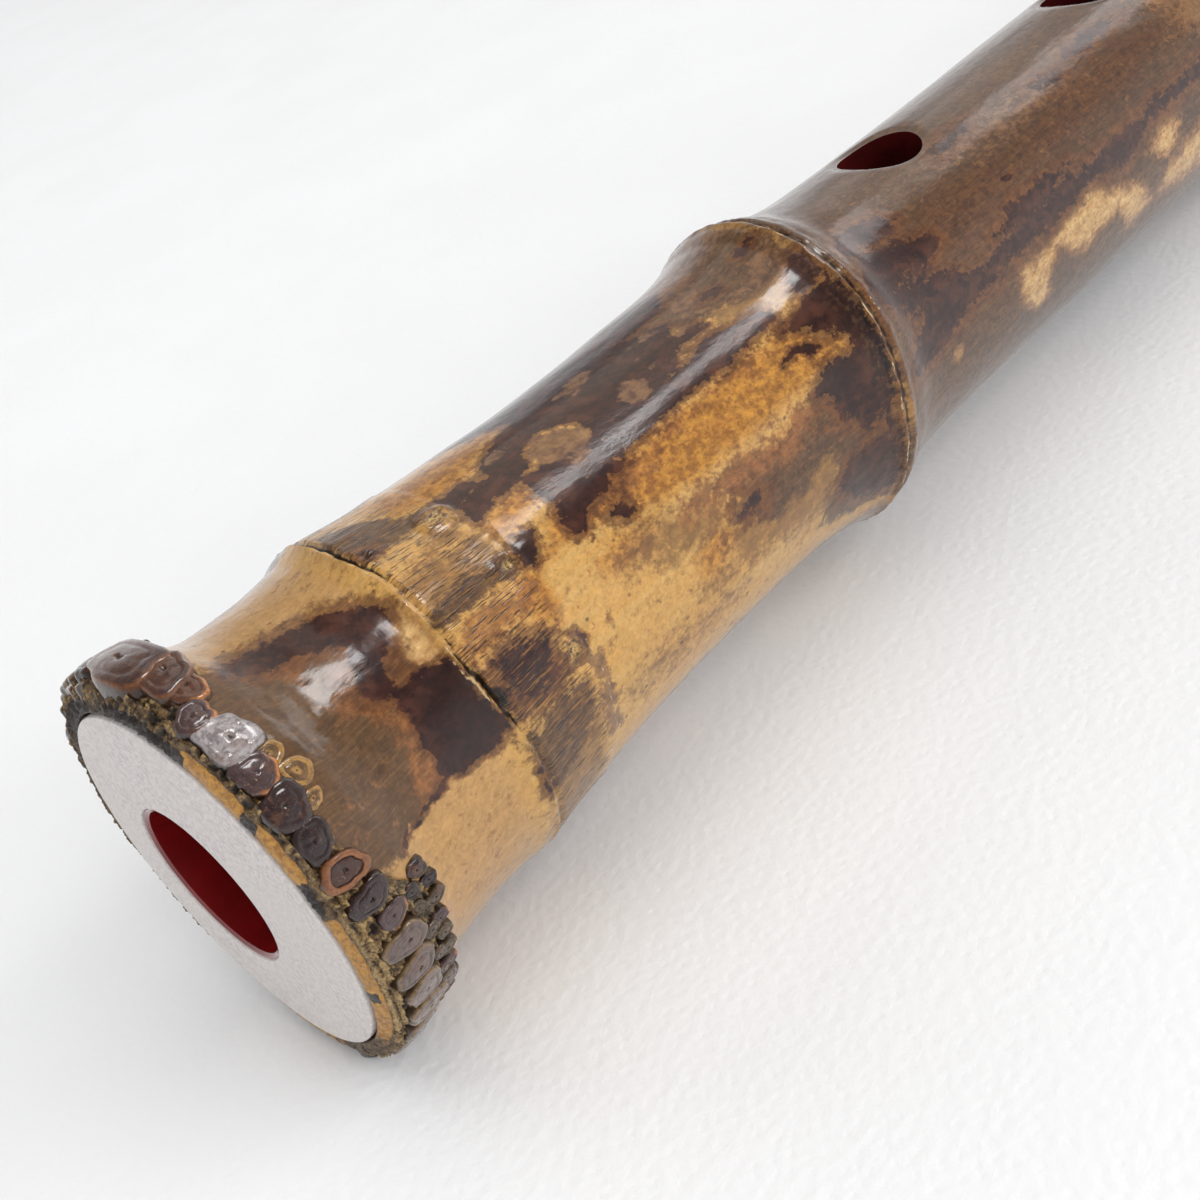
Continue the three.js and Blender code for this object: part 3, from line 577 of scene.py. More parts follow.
        (0.3, [(38.7, 118.3), (40, 117), (43.5, 115.5), (47, 115), (49, 112), (49.5, 108), (51.5, 104.5), (54, 103.5), (56, 106), (57, 110), (57.5, 114), (56, 117.5), (55, 120.5), (57, 122.5), (60, 123), (63, 122.5), (66, 122), (70, 119), (72, 114), (75, 113.5), (78.3, 112.5), (78.4, 109.8), (75.5, 109), (74.8, 107), (75.8, 104.5), (76, 100.5), (74.5, 98), (73, 96), (71.5, 92), (69, 86), (66, 83), (61, 85), (57, 86), (53, 89), (50, 91.5), (47.5, 95.5), (45.5, 99), (45, 104), (42, 107.5), (38.8, 108)]),
        (0.3, [(38.4, 108), (38.3, 101), (40, 100.2), (42.5, 100.6), (43.6, 102.6), (43.3, 105), (41.5, 107.2)]),
        (0.5, [(45.6, 140.3), (47.3, 140.4), (48.6, 138), (49.5, 136.4), (51, 136.2), (52.8, 137.2), (54, 135.8), (54.6, 133.4), (56.2, 131.2), (57.5, 130), (55, 129), (50.5, 128.8), (46.5, 129.8), (45.9, 134)]),
        (0.4, [(49.7, 142.4), (50.6, 145.6), (52, 147.2), (53.7, 147), (53.5, 143.4), (52.8, 141.6), (51, 141.8)]),
        (0.1, [(80.2, 142.8), (81, 144.2), (82.8, 143.2), (83.6, 145.2), (84.4, 147), (86.4, 146.4), (85.6, 144.6), (84.6, 142), (82.8, 140.9), (80.6, 141.4)]),
        (0.8, [(81.6, 160.5), (82.4, 158), (83.2, 154.8), (85.3, 152.6), (87, 154), (88.8, 155), (89.4, 150), (88.6, 144.5), (87.2, 141.5), (85.8, 137.8), (83.6, 134.4), (86, 132.8), (89, 131), (92.9, 130.5), (92.9, 160), (92.2, 170), (91.4, 180), (91.6, 196), (90.5, 196), (89.8, 184), (90, 177), (87.6, 169), (84.8, 165.8), (83.2, 162.5)]),
        (1.0, [(64.3, 170.4), (66.2, 174.6), (68.2, 176), (69, 173.4), (67.8, 170.6), (66, 169.4)]),
        (1.5, [(83, 163), (87.5, 161), (91, 166), (91, 179), (87, 181), (84, 172)]),
        (1.6, [(28.5, 152), (33, 153), (35.5, 159), (34, 167), (30, 168), (28, 162)]),
        (1.5, [(80, 194), (82, 202), (85, 207), (89, 211), (92, 214), (92, 200), (91, 190), (87, 186), (83, 188)]),
        (0.8, [(94.8, 149), (97.5, 151.2), (101, 150.8), (102.6, 147.4), (104.5, 146.2), (107, 148.4), (110.6, 147.4), (112.2, 144), (111.4, 140.4), (108.5, 138), (106, 134.4), (101.5, 132.6), (98, 133.4), (96.6, 138), (95.2, 143)]),
        (1.1, [(96, 178), (97.5, 172), (100, 167), (104, 162), (103, 157), (104.6, 153), (107.6, 152.5), (109.6, 155.5), (110.2, 160.5), (111.6, 166), (113, 171), (110, 175), (104, 178), (99, 180)]),
        (1.4, [(113, 169.5), (122, 170), (132, 171), (141, 167.5), (150, 173.5), (153.5, 168), (157, 163.8), (170, 166), (182, 168), (182, 160), (168, 158), (150, 160.4), (140, 160), (128, 160.6), (118, 162), (113, 165)]),
        (1.4, [(97, 131), (101, 129), (106, 130), (109.5, 128), (108, 122), (104, 118.5), (100, 120), (97.4, 125)]),
        (1.6, [(122, 118), (126, 118.5), (131, 116), (134, 111.5), (129, 109.5), (124, 112)]),
        (1.6, [(143, 124), (148, 127), (151, 123), (148, 117), (143.5, 118)]),
        (1.6, [(153, 121), (160, 123), (168, 119), (160, 114), (153.5, 117)]),
        (2.2, [(96, 150), (101, 160), (107, 168), (113, 173), (119, 174), (117, 166), (111, 158), (106, 150), (100, 146)]),
        (1.8, [(119, 158), (126, 163), (134, 161), (140, 156), (134, 152), (126, 153)]),
        (0.0, [(126.6, 143.4), (128.4, 144), (130.2, 143.2), (130.2, 141.6), (128.2, 141.2), (126.8, 142)]),
        (0.1, [(88, 213), (89.4, 211.5), (89, 207.5), (87.8, 209)]),
        (0.3, [(39, 138.2), (40.4, 138), (41.4, 135), (42.6, 130.6), (41.5, 128.4), (40, 128), (39.2, 130), (39.1, 134)]),
        (0.2, [(37.4, 171.5), (38.4, 169.6), (39.3, 165), (38.6, 160.6), (37.4, 159.6), (38.3, 162.6), (38.4, 166), (38, 169)]),
        (0.3, [(26.1, 194), (26.9, 194.4), (26.9, 184), (26.4, 187)]),
        (0.4, [(27.4, 106.5), (29.4, 106.2), (29.4, 103), (27.6, 102)]),
    ],
    "black": [
        (0.8, [(19.5, 166.5), (25.9, 169), (25.4, 150), (25.2, 143), (22, 142), (20, 146), (19.6, 152), (19.2, 160)]),
        (1.2, [(82.4, 160), (83.6, 155), (85.5, 153.4), (88.6, 156), (90.4, 163), (91.8, 170), (92.6, 160), (92.7, 145), (92.6, 134), (90, 136), (89.6, 146), (90.4, 152), (88, 158), (88, 168), (85, 164)]),
        (1.4, [(99, 140), (103, 139), (109, 141), (110, 138), (105, 135), (100, 134)]),
        (0.2, [(39.1, 138), (40.3, 137.6), (41, 135), (41.8, 131), (40.4, 131), (39.3, 133)]),
        (0.0, [(115.6, 143.4), (116.4, 144.6), (117, 143.4), (116.4, 142.6)]),
        (0.0, [(119.2, 143), (119.8, 144.4), (120.8, 143.6), (120.4, 142.2)]),
        (0.0, [(109, 151.8), (109.4, 153), (109.9, 152.4), (109.6, 151.2)]),
        (0.2, [(103.6, 158), (105.4, 157.6), (107, 155), (105, 153.6), (103.8, 155)]),
    ],
}
LAYERS = list(STAINS)


def outline_distance(x, s, poly):
    """Signed distance in mm from points (x, s) to a closed outline, positive inside."""
    p = np.asarray(poly, float)
    px, ps = p[:, 0], p[:, 1]
    best = np.full(x.shape, 1e9)
    inside = np.zeros(x.shape, bool)
    for k in range(len(p)):
        ax, ay, bx, by = px[k - 1], ps[k - 1], px[k], ps[k]
        dx, dy = bx - ax, by - ay
        t = np.clip(((x - ax) * dx + (s - ay) * dy) / (dx * dx + dy * dy + 1e-12), 0, 1)
        best = np.minimum(best, (x - ax - t * dx) ** 2 + (s - ay - t * dy) ** 2)
        cross = (ay > s) != (by > s)
        with np.errstate(divide="ignore", invalid="ignore"):
            xi = ax + (s - ay) / (by - ay if by != ay else 1e-12) * dx
        inside ^= cross & (x < xi)
    d = np.sqrt(best)
    return np.where(inside, d, -d)


def stain_layers(x, deg):
    """How much of each layer there is at (x, degrees): 0.5 is its edge, and the shader breaks the edge up."""
    a = np.radians(deg)
    k = math.radians(1) * 19.2
    cyl = np.stack([x, 19.2 * np.cos(a), 19.2 * np.sin(a)], -1)
    wob_x = 0.55 * fbm(cyl * 0.45, 41, 4)
    wob_s = 0.55 * fbm(cyl * 0.45 + 40, 42, 4)
    xx, ss = x + wob_x, deg * k + wob_s
    seen = smoothstep(62, 76, deg) * (1 - smoothstep(214, 236, deg)) * (1 - smoothstep(166, 186, x))
    out = {}
    for name in LAYERS:
        amount = np.zeros_like(x)
        for soft, poly in STAINS[name]:
            p = np.array(poly, float)
            p[:, 1] *= k
            near = (xx > p[:, 0].min() - 5) & (xx < p[:, 0].max() + 5) & (ss > p[:, 1].min() - 5) & (ss < p[:, 1].max() + 5)
            if near.any():
                d = outline_distance(xx[near], ss[near], p)
                w = 0.45 + soft
                amount[near] = np.maximum(amount[near], np.clip(0.5 + 0.5 * d / w, 0, 1))
        out[name] = amount
        if name == "dark":
            fringe = np.zeros_like(x)
            for soft, poly in STAINS[name]:
                p = np.array(poly, float)
                p[:, 1] *= k
                reach = 0.5 + 3.4 * min(soft, 0.8)
                near = (xx > p[:, 0].min() - 5) & (xx < p[:, 0].max() + 5) & (ss > p[:, 1].min() - 5) & (ss < p[:, 1].max() + 5)
                if near.any():
                    fringe[near] = np.maximum(fringe[near], np.clip(1 + outline_distance(xx[near], ss[near], p) / reach, 0, 1))
            out["halo"] = fringe
    # the sides and the length that the outlines don't reach
    n1 = fbm(cyl * np.array([0.030, 0.075, 0.075]) + 3.3, 51, 5, 0.55)
    n2 = fbm(cyl * np.array([0.022, 0.085, 0.085]) + 8.1, 52, 5, 0.55)
    n3 = fbm(cyl * np.array([0.035, 0.110, 0.110]) + 1.7, 53, 4, 0.5)
    n4 = fbm(cyl * np.array([0.050, 0.130, 0.130]) + 6.9, 54, 4, 0.5)
    root_bare = 1 - smoothstep(9, 26, x)
    old = smoothstep(88, 96, x)
    free = {
        "tan": smoothstep(0.05, 0.5, n3) * 0.9,
        "gold": np.clip(0.5 + 2.2 * (n2 - 0.05) - 0.8 * old, 0, 1),
        "haze": np.clip(0.5 + 2.0 * (n3 + 0.02), 0, 1) * (1 - root_bare),
        "brown": np.clip(0.5 + 2.6 * (n1 - 0.05 + 0.25 * old - 0.35 * root_bare), 0, 1),
        "orange": np.clip(0.5 + 2.4 * (n4 - 0.20), 0, 1),
        "cream": np.clip(0.5 + 3.0 * (n2 - 0.50), 0, 1) * old,
        "dark": np.clip(0.5 + 4.5 * (n1 * 0.75 + n4 * 0.35 - 0.26 - 0.3 * root_bare), 0, 1),
        "black": np.clip(0.5 + 4.5 * (n1 * 0.75 + n4 * 0.35 - 0.62), 0, 1),
        "halo": np.clip(0.5 + 3.0 * (n1 * 0.75 + n4 * 0.35 - 0.18 - 0.3 * root_bare), 0, 1),
    }
    for name in LAYERS + ["halo"]:
        out[name] = seen * out[name] + (1 - seen) * free[name]
    return out


def put_stains(ob):
    """Writes the stain layers (one tan outline among them is painted sheen), the band, the worn edges (paler on ring
    A's lit side: painted highlight) and the crevices (painted dark: painted shade) on a culm's vertices.
    """
    p = vertices_of(ob)
    x = p[:, 0].copy()
    cy, cz = outer_middle(x)
    a = np.arctan2(p[:, 2] - cz, p[:, 1] - cy)
    for _ in range(4):
        x = p[:, 0] - lean(x, a)
    deg = np.degrees(a) % 360
    for name, amount in stain_layers(x, deg).items():
        put(ob, "s_" + name, amount)
    cyl = np.stack([x, 19 * np.cos(a), 19 * np.sin(a)], -1)
    xa = around(RING_A, deg) + 0.12 * noise(cyl * np.array([0, 0.9, 0.9]) + 5, 11)
    xe = around(BAND_END, deg) + 0.35 * fbm(cyl * np.array([0, 0.4, 0.4]) + 3, 13, 3)
    put(ob, "band", smoothstep(xa + 0.3, xa + 1.0, x) * (1 - smoothstep(xe - 2.6, xe - 0.3, x)))
    xb = around(RING_B, deg) + 0.16 * fbm(cyl * np.array([0, 0.6, 0.6]) + 7, 16, 3)
    part = 0.5 + 0.5 * noise(cyl * np.array([0, 0.5, 0.5]) + 2, 61)
    # Ring A's pale edge is strongest where light falls on it: part wear, part painted highlight.
    lit = np.maximum(bell(deg - 148, 22), 0.75 * bell(deg - 105, 18))
    wear_and_glint = bell(x - xa + 0.02, 0.22) * (0.10 + 0.90 * lit) * smoothstep(0.2, 0.6, part)
    wear_and_glint = np.maximum(wear_and_glint, 0.75 * bell(x - xe - 0.1, 0.22) * (0.35 + 0.5 * bell(deg - 185, 30)))
    wear_and_glint = np.maximum(wear_and_glint, 0.85 * bell(x - xb - 0.12, 0.26) * (0.10 + 0.90 * smoothstep(0.45, 0.8, part)))
    wear_and_glint = np.maximum(wear_and_glint, 0.60 * bell(x - xb - 1.9, 0.34) * smoothstep(0.55, 0.85, part))
    # The crevices behind the node rings' lips are painted dark: painted shade.
    crevice = bell(x - xa - 0.62, 0.30) * (0.35 + 0.65 * np.maximum(bell(deg - 156, 14), np.maximum(bell(deg - 92, 22), 0.6 * bell(deg - 300, 60))))
    crevice = np.maximum(crevice, 0.55 * bell(x - xb + 0.62, 0.35) * bell(deg - 160, 45))
    crevice = np.maximum(crevice, 0.65 * bell(x - xb - 0.95, 0.35))
    for k, xr in enumerate(OTHER_RINGS):
        xn = xr + 0.5 * np.cos(a - 1.3 * k) + 0.16 * fbm(cyl * np.array([0, 0.6, 0.6]) + 7 * k, 18 + k, 3)
        wear_and_glint = np.maximum(wear_and_glint, 0.8 * bell(x - xn - 0.05, 0.28) * (0.15 + 0.85 * smoothstep(0.4, 0.8, part)))
        crevice = np.maximum(crevice, 0.6 * bell(x - xn - 1.0, 0.38))
    crumb = bell((deg - 160) * 0.36, 1.5) * bell(x - xa - 1.0, 1.3)
    crater = np.zeros_like(x)
    for x0, a0, lx, ly, rim, deep in SCARS[:3]:
        crater = np.maximum(crater, bell(np.hypot((x - x0) / lx, (deg - a0) * 0.34 / ly), 0.85))
    at = ob.data.attributes.new("skin_at", "FLOAT_VECTOR", "POINT")
    at.data.foreach_set("vector", np.stack([x, 19.2 * np.cos(a), 19.2 * np.sin(a)], -1).astype(np.float32).ravel())
    put(ob, "wear_and_glint", wear_and_glint)
    put(ob, "crevice", np.maximum(crevice, 0.75 * crumb))
    put(ob, "crater", crater)
    put(ob, "knot", np.maximum(bell(x - xb - 0.6, 2.6), 0.0))
    put(ob, "old", smoothstep(88, 97, x))
    put(ob, "flare", 1 - smoothstep(22, 26, x))


# ---------------------------------------------------------------- materials
class Paint:
    """Short names for building a material's nodes."""

    def __init__(self, name, skin=False):
        self.mat = bpy.data.materials.new(name)
        self.mat.use_nodes = True
        self.nt = self.mat.node_tree
        self.bsdf = self.nt.nodes["Principled BSDF"]
        if skin:  # the culm's own coordinates, in millimetres, written on its vertices
            at = self.nt.nodes.new("ShaderNodeAttribute")
            at.attribute_name = "skin_at"
            self.pos = at.outputs["Vector"]
        else:
            tc = self.nt.nodes.new("ShaderNodeTexCoord")
            self.pos = self.map(tc.outputs["Object"], (1000, 1000, 1000))  # millimetres

    def set(self, **values):
        for k, v in values.items():
            self.bsdf.inputs[k.replace("_", " ")].default_value = v
        return self

    def link(self, a, b):
        self.nt.links.new(a, b)

    def map(self, vec, scale, location=(0, 0, 0)):
        m = self.nt.nodes.new("ShaderNodeMapping")
        m.inputs["Scale"].default_value = scale
        m.inputs["Location"].default_value = location
        self.link(vec, m.inputs["Vector"])
        return m.outputs[0]

    def noise(self, scale, detail=4.0, rough=0.55, stretch=(1, 1, 1), shift=0.0, distort=0.0):
        n = self.nt.nodes.new("ShaderNodeTexNoise")
        n.inputs["Scale"].default_value = scale
        n.inputs["Detail"].default_value = detail
        n.inputs["Roughness"].default_value = rough
        n.inputs["Distortion"].default_value = distort
        self.link(self.map(self.pos, stretch, (shift, shift * 0.7, shift * 1.3)), n.inputs["Vector"])
        return n.outputs["Fac"]

    def voronoi(self, scale, stretch=(1, 1, 1), feature="F1", shift=0.0):
        n = self.nt.nodes.new("ShaderNodeTexVoronoi")
        n.feature = feature
        n.inputs["Scale"].default_value = scale
        self.link(self.map(self.pos, stretch, (shift, shift, shift)), n.inputs["Vector"])
        return n.outputs["Distance"]

    def attr(self, name):
        n = self.nt.nodes.new("ShaderNodeAttribute")
        n.attribute_name = name
        return n.outputs["Fac"]

    def attr_colour(self, name):
        n = self.nt.nodes.new("ShaderNodeAttribute")
        n.attribute_name = name
        return n.outputs["Color"]

    def math(self, op, a, b=0.0, c=0.0):
        n = self.nt.nodes.new("ShaderNodeMath")
        n.operation = op
        for k, v in enumerate((a, b, c)):
            if isinstance(v, (int, float)):
                n.inputs[k].default_value = v
            else:
                self.link(v, n.inputs[k])
        return n.outputs[0]

    def range(self, v, a, b, lo=0.0, hi=1.0, smooth=True):
        n = self.nt.nodes.new("ShaderNodeMapRange")
        n.interpolation_type = "SMOOTHSTEP" if smooth else "LINEAR"
        self.link(v, n.inputs["Value"])
        for k, x in (("From Min", a), ("From Max", b), ("To Min", lo), ("To Max", hi)):
            n.inputs[k].default_value = x
        return n.outputs["Result"]

    def mix(self, f, a, b, mode="MIX"):
        n = self.nt.nodes.new("ShaderNodeMix")
        n.data_type = "RGBA"
        n.blend_type = mode
        for socket, v in ((n.inputs[0], f), (n.inputs[6], a), (n.inputs[7], b)):
            if isinstance(v, (int, float)):
                socket.default_value = v
            elif isinstance(v, tuple):
                socket.default_value = v
            else:
                self.link(v, socket)
        return n.outputs[2]

    def bump(self, parts, distance=0.0001):
        """parts: (height output, strength) pairs, chained."""
        normal = None
        for height, strength in parts:
            n = self.nt.nodes.new("ShaderNodeBump")
            n.inputs["Strength"].default_value = strength
            n.inputs["Distance"].default_value = distance
            self.link(height, n.inputs["Height"])
            if normal is not None:
                self.link(normal, n.inputs["Normal"])
            normal = n.outputs[0]
        self.link(normal, self.bsdf.inputs["Normal"])
        return normal


def rgb(r, g, b):
    """sRGB numbers from 0 to 255, as the linear colour that the shader takes."""
    return tuple((c / 255 / 12.92 if c / 255 <= 0.04045 else ((c / 255 + 0.055) / 1.055) ** 2.4) for c in (r, g, b)) + (1.0,)


def bamboo_material():
    p = Paint("bamboo", True).set(Coat_Weight=1.0, Coat_Roughness=0.16, Coat_IOR=1.42, IOR=1.5, Specular_IOR_Level=0.16)
    streak = p.noise(1.0, 5, 0.6, (0.05, 1.5, 1.5), 3)
    fine = p.noise(1.0, 3, 0.6, (0.35, 5.0, 5.0), 11)
    blotch = p.noise(0.16, 4, 0.55, (0.5, 1, 1), 5)
    mott = p.noise(0.9, 6, 0.66, (0.85, 1, 1), 7)
    cloud = p.noise(0.42, 6, 0.62, (0.75, 1, 1), 27, 0.4)
    grain = p.noise(2.7, 2, 0.6, (0.85, 1, 1), 21)
    edge = p.noise(1.25, 4, 0.6, (0.8, 1, 1), 15, 0.5)
    jagged = p.math("ADD", p.math("MULTIPLY", p.math("SUBTRACT", edge, 0.5), 1.0),
                    p.math("ADD", p.math("MULTIPLY", p.math("SUBTRACT", cloud, 0.5), 0.9), p.math("MULTIPLY", p.math("SUBTRACT", grain, 0.5), 0.34)))

    def level(name, jag, extra=None):
        v = p.math("MULTIPLY_ADD", jagged, jag, p.attr("s_" + name))
        return v if extra is None else p.math("ADD", v, extra)

    def layer(name, width, jag, extra=None):
        return p.range(level(name, jag, extra), 0.5 - width, 0.5 + width)

    centred = p.math("SUBTRACT", mott, 0.5)
    old = p.attr("old")
    base = p.mix(p.range(streak, 0.3, 0.7), rgb(191, 152, 88), rgb(178, 134, 68))
    base = p.mix(p.range(blotch, 0.35, 0.7), base, rgb(184, 138, 74))
    base = p.mix(p.range(grain, 0.5, 0.75, 0.0, 0.22), base, rgb(142, 98, 50))
    base = p.mix(p.math("MULTIPLY", p.attr("flare"), 0.75), base, rgb(164, 126, 80))
    base = p.mix(p.math("MULTIPLY", old, 0.8), base, rgb(112, 74, 44))
    gold = p.mix(p.range(mott, 0.36, 0.62), rgb(180, 124, 46), rgb(130, 80, 28))
    gold = p.mix(p.range(grain, 0.52, 0.68, 0.0, 0.5), gold, rgb(100, 58, 24))
    c = p.mix(p.math("MULTIPLY", layer("gold", 0.42, 0.8), 0.92), base, gold)
    haze = p.mix(p.range(mott, 0.35, 0.65), rgb(108, 70, 36), rgb(72, 44, 25))
    c = p.mix(p.math("MULTIPLY", layer("haze", 0.42, 1.2, p.math("MULTIPLY", centred, 1.3)), 0.70), c, haze)
    brown = p.mix(p.range(mott, 0.34, 0.66), rgb(86, 59, 36), rgb(54, 35, 24))
    brown = p.mix(p.range(grain, 0.54, 0.72, 0.0, 0.35), brown, rgb(110, 80, 50))
    brown = p.mix(p.math("MULTIPLY", p.range(cloud, 0.46, 0.62), 0.6), brown, rgb(52, 34, 30))
    brown = p.mix(p.math("MULTIPLY", p.attr("flare"), 0.35), brown, rgb(60, 40, 24))
    brown = p.mix(p.math("MULTIPLY", old, p.range(blotch, 0.44, 0.58, 0.0, 0.55)), brown, rgb(50, 33, 27))
    c = p.mix(p.math("MULTIPLY", layer("brown", 0.24, 1.0), 0.94), c, brown)
    orange = p.mix(p.range(mott, 0.32, 0.68), rgb(150, 94, 46), rgb(94, 56, 30))
    orange = p.mix(old, orange, p.mix(p.range(mott, 0.32, 0.68), rgb(95, 60, 37), rgb(56, 35, 27)))
    c = p.mix(p.math("MULTIPLY", layer("orange", 0.34, 1.5, p.math("MULTIPLY", centred, 1.2)), 0.80), c, orange)
    c = p.mix(p.math("MULTIPLY", p.range(level("cream", 1.3, p.math("MULTIPLY", centred, 0.8)), 0.06, 0.60), 0.75), c, rgb(138, 95, 55))
    cream = p.mix(p.range(mott, 0.3, 0.7), rgb(212, 178, 120), rgb(168, 124, 72))
    c = p.mix(p.math("MULTIPLY", p.range(level("cream", 1.4, p.math("MULTIPLY", centred, 1.0)), 0.40, 1.14), 0.92), c, cream)
    halo = p.range(level("halo", 0.9, p.math("MULTIPLY", centred, 0.9)), 0.30, 0.75)
    c = p.mix(p.math("MULTIPLY", halo, 0.80), c, p.mix(p.range(mott, 0.35, 0.65), rgb(104, 62, 28), rgb(72, 40, 20)))
    # long fibres
    c = p.mix(p.range(streak, 0.25, 0.8, 0.16, 0.0), c, rgb(80, 52, 28))
    c = p.mix(p.range(fine, 0.45, 0.75, 0.0, 0.08), c, rgb(200, 158, 104))
    veins = p.noise(1.5, 4, 0.6, (0.8, 1, 1), 37, 0.9)
    c = p.mix(1.0, c, p.range(veins, 0.32, 0.68, 0.80, 1.15, False), "MULTIPLY")
    dark = p.mix(p.range(mott, 0.35, 0.65), rgb(50, 23, 17), rgb(30, 13, 12))
    dark = p.mix(p.range(cloud, 0.48, 0.64, 0.0, 0.70), dark, rgb(76, 42, 28))
    dark = p.mix(p.range(grain, 0.60, 0.76, 0.0, 0.22), dark, rgb(86, 52, 36))
    c = p.mix(p.math("MULTIPLY", layer("dark", 0.10, 1.1), 0.96), c, dark)
    c = p.mix(p.math("MULTIPLY", layer("black", 0.40, 1.0), 0.55), c, rgb(28, 15, 14))
    tan = p.mix(p.range(mott, 0.35, 0.65), rgb(122, 88, 58), rgb(82, 55, 38))
    c = p.mix(p.math("MULTIPLY", layer("tan", 0.16, 1.2), 0.85), c, tan)
    # small dark specks, thicker in some patches than others
    specks = p.voronoi(0.55, (0.8, 1, 1), shift=3.3)
    speck = p.math("MULTIPLY", p.range(specks, 0.05, 0.17, 1.0, 0.0), p.range(p.noise(0.12, 2, 0.5, (1, 1, 1), 31), 0.50, 0.60))
    c = p.mix(p.math("MULTIPLY", speck, 0.75), c, rgb(44, 27, 20))
    hairs = p.noise(1.0, 2, 0.5, (0.10, 3.6, 3.6), 71)
    c = p.mix(p.range(hairs, 0.72, 0.78, 0.0, 0.25), c, rgb(70, 44, 26))
    # the sheath's fibrous band: dry, scratched along the flute
    band = p.attr("band")
    scratch = p.noise(1.0, 2, 0.5, (0.42, 5.0, 5.0), 41)
    scratch2 = p.noise(1.0, 3, 0.6, (0.36, 4.2, 4.2), 43)
    c = p.mix(p.math("MULTIPLY", band, p.range(scratch, 0.36, 0.46, 0.80, 0.0)), c, rgb(34, 20, 13))
    c = p.mix(p.math("MULTIPLY", band, p.range(scratch2, 0.56, 0.68, 0.0, 0.42)), c, rgb(170, 116, 50))
    # crevices painted near-black as shade, craters, and worn edges paler where light falls on ring A: wear and painted
    # highlight
    crevice = p.attr("crevice")
    c = p.mix(p.range(p.math("MULTIPLY_ADD", p.math("SUBTRACT", edge, 0.5), 0.8, crevice), 0.3, 0.6, 0.0, 0.95), c, rgb(16, 10, 9))
    crater = p.attr("crater")
    c = p.mix(p.range(p.math("MULTIPLY_ADD", p.math("SUBTRACT", grain, 0.5), 1.6, crater), 0.35, 0.8, 0.0, 0.8), c, p.mix(p.range(grain, 0.4, 0.6), rgb(190, 156, 96), rgb(70, 50, 28)))
    knot = p.math("MULTIPLY", p.attr("knot"), p.range(p.noise(1.3, 4, 0.65, (1, 1, 1), 51), 0.48, 0.66))
    c = p.mix(p.math("MULTIPLY", knot, 0.45), c, rgb(120, 88, 54))
    wear_and_glint = p.attr("wear_and_glint")
    c = p.mix(p.range(p.math("MULTIPLY_ADD", p.math("SUBTRACT", grain, 0.5), 0.9, wear_and_glint), 0.45, 0.75, 0.0, 0.85), c, rgb(190, 164, 122))
    p.link(c, p.bsdf.inputs["Base Color"])
    rough = p.range(mott, 0.3, 0.7, 0.34, 0.46)
    rough = p.math("MULTIPLY_ADD", band, 0.10, rough)
    rough = p.math("MULTIPLY_ADD", crevice, 0.25, rough)
    rough = p.math("MULTIPLY_ADD", crater, 0.25, rough)
    p.link(rough, p.bsdf.inputs["Roughness"])
    orange_peel = p.noise(0.8, 3, 0.5, (0.55, 1, 1), 61)
    band_height = p.math("MULTIPLY", p.range(scratch, 0.34, 0.50), band)
    p.bump([(orange_peel, 0.34), (band_height, 0.45),
            (p.math("MULTIPLY", grain, p.math("MAXIMUM", crevice, p.attr("knot"))), 0.55)], 0.00016)
    coat = p.nt.nodes.new("ShaderNodeBump")
    coat.inputs["Strength"].default_value = 0.26
    coat.inputs["Distance"].default_value = 0.00016
    dimples = p.math("MULTIPLY", p.noise(0.18, 2, 0.45, (1.1, 1, 1), 83), p.attr("flare"))
    p.link(p.math("MULTIPLY_ADD", dimples, 9.0, p.math("MULTIPLY_ADD", band_height, 1.6, orange_peel)), coat.inputs["Height"])
    p.link(coat.outputs[0], p.bsdf.inputs["Coat Normal"])
    return p.mat


def lacquer_material(name="red_lacquer", light=rgb(120, 19, 20), deep=rgb(102, 14, 16)):
    p = Paint(name).set(Coat_Weight=0.85, Coat_Roughness=0.06, IOR=1.5, Specular_IOR_Level=0.15)
    n = p.noise(0.35, 3, 0.5, (0.4, 1, 1), 2)
    p.link(p.mix(p.range(n, 0.3, 0.7), light, deep), p.bsdf.inputs["Base Color"])
    p.link(p.range(n, 0.3, 0.7, 0.16, 0.26), p.bsdf.inputs["Roughness"])
    p.bump([(p.noise(0.5, 2, 0.5, (0.3, 1, 1), 5), 0.18)], 0.0001)
    return p.mat


def plate_material():
    p = Paint("end_plate").set(Coat_Weight=0.08, Coat_Roughness=0.4, IOR=1.45)
    n = p.noise(1.9, 6, 0.7, (1, 1, 1), 4)
    big = p.noise(0.14, 3, 0.5, (1, 1, 1), 9)
    c = p.mix(p.range(n, 0.42, 0.60), rgb(210, 204, 200), rgb(187, 179, 178))
    c = p.mix(p.range(big, 0.35, 0.7, 0.0, 0.6), c, rgb(206, 200, 194))
    p.link(c, p.bsdf.inputs["Base Color"])
    p.link(p.range(n, 0.3, 0.7, 0.48, 0.6), p.bsdf.inputs["Roughness"])
    p.bump([(p.noise(2.6, 4, 0.6, (1, 1, 1), 3), 0.12)], 0.0001)
    return p.mat


def wood_material(name="dark_lacquered_wood"):
    p = Paint(name).set(Coat_Weight=0.4, Coat_Roughness=0.12, IOR=1.5)
    n = p.noise(1.0, 5, 0.6, (0.06, 1.4, 1.4), 4)
    p.link(p.mix(p.range(n, 0.3, 0.7), rgb(46, 30, 24), rgb(28, 19, 17)), p.bsdf.inputs["Base Color"])
    p.link(p.range(n, 0.3, 0.7, 0.28, 0.42), p.bsdf.inputs["Roughness"])
    turned = p.noise(1.0, 2, 0.5, (3.0, 0.05, 0.05), 8)
    p.bump([(turned, 0.20), (n, 0.15)], 0.0001)
    return p.mat


